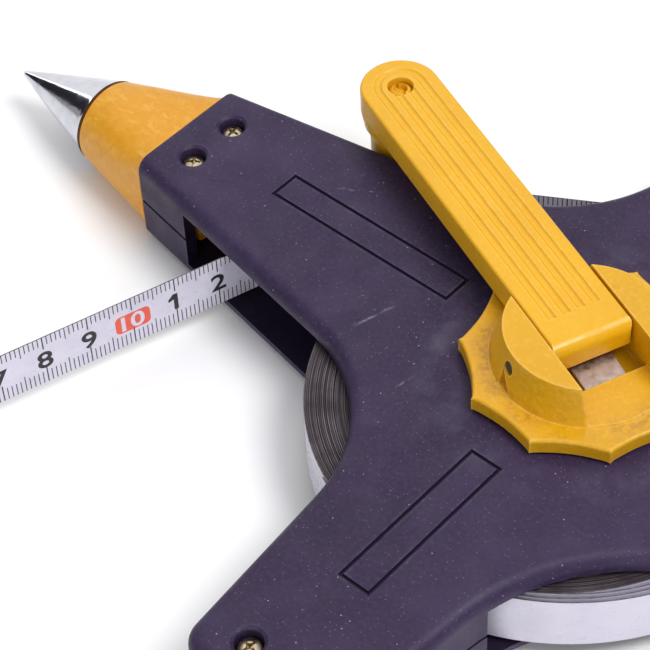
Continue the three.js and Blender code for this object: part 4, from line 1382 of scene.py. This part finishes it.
def keep_inner_nodes():
    """Gives the hidden CAD nodes, whose shapes are right as they are, their materials."""
    looks = {
        STEEL: ("spike_nut", "guide_roller_pin", "tape_anchor_key", "hub_screw"),
        NYLON: ("lower_thrust_washer", "upper_thrust_washer"),
        DRUM_PLASTIC: ("reel_drum",),
    }
    for material, names in looks.items():
        for name in names:
            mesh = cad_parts[name].data
            mesh.materials.clear()
            mesh.materials.append(material)


# ---------------------------------------------------------------- camera, floor and light


def camera():
    azimuth, elevation, roll = (math.radians(CAMERA[a]) for a in ("azimuth", "elevation", "roll"))
    level = Vector((math.cos(azimuth), math.sin(azimuth), 0))
    ahead = Vector((-level.y, level.x, 0)) * math.cos(elevation) - Vector((0, 0, math.sin(elevation)))
    upright = level.cross(ahead)
    right = level * math.cos(roll) + upright * math.sin(roll)
    up = upright * math.cos(roll) - level * math.sin(roll)
    data = bpy.data.cameras.new("camera")
    data.sensor_width = CAMERA["sensor"]
    data.lens = CAMERA["lens"]
    data.shift_y = CAMERA["shift"]
    view = new_object("camera", data)
    pose = Matrix((right, up, -ahead)).transposed().to_4x4()
    pose.translation = Vector(CAMERA["place"]) * MM
    view.matrix_world = pose
    bpy.context.scene.camera = view


def floor():
    piece = slab("floor", round_outline(2500), [(0, -12), (0, -0.05)])
    look = Look("floor", srgb(250, 250, 251), 0.6)
    look.coat(look.patches(400, 2, 0.3, 0.7), srgb(246, 246, 248))
    piece.data.materials.append(look.done())


def area_light(name, place, target, size, energy):
    data = bpy.data.lights.new(name, "AREA")
    data.shape = "DISK"
    data.size = size
    data.energy = energy
    lamp = new_object(name, data)
    lamp.location = Vector(place)
    lamp.rotation_euler = (Vector(target) - Vector(place)).to_track_quat("-Z", "Y").to_euler()


def reflected_board(name, start, end, high, colour, glow=0):
    """A board beyond the spike, from one y to another, that only glossy reflections see."""
    board = box(name, (BOARD_X[0], start, BOARD_LOW), (BOARD_X[1], end, high))
    look = Look(name, colour, 0.9, Emission_Color=(1, 1, 1, 1), Emission_Strength=glow)
    board.data.materials.append(look.done())
    for ray in ("camera", "diffuse", "shadow", "transmission"):
        setattr(board, "visible_" + ray, False)


def boards_beyond_the_spike():
    """What the chrome mirrors: a dark side, a pale side and a bright strip between them."""
    reflected_board("dark_board", -190, 10, 260, srgb(16, 14, 26))
    reflected_board("bright_strip", 12, 50, 300, (0, 0, 0), 3)
    reflected_board("pale_board", 52, 560, 300, (0, 0, 0), 1.05)


def studio():
    world = bpy.data.worlds.new("studio")
    bpy.context.scene.world = world
    world.use_nodes = True
    background = world.node_tree.nodes["Background"]
    background.inputs["Color"].default_value = (1, 1, 1, 1)
    background.inputs["Strength"].default_value = WORLD_LIGHT
    for name, light in LIGHTS.items():
        area_light(name, *light)
    bpy.context.scene.view_settings.view_transform = "Standard"


# ---------------------------------------------------------------- the whole object

camera()
floor()
studio()
boards_beyond_the_spike()
frame_shell("upper_frame_shell", True)
frame_shell("lower_frame_shell", False)
frame_screws()
nose_insert()
ground_spike()
tape_blade()
tape_lead()
tape_wraps()
tape_pack()
guides()
end_clip()
end_ring()
hub_disc()
crank_pin()
leaf_spring()
crank_arm()
crank_grip()
keep_inner_nodes()
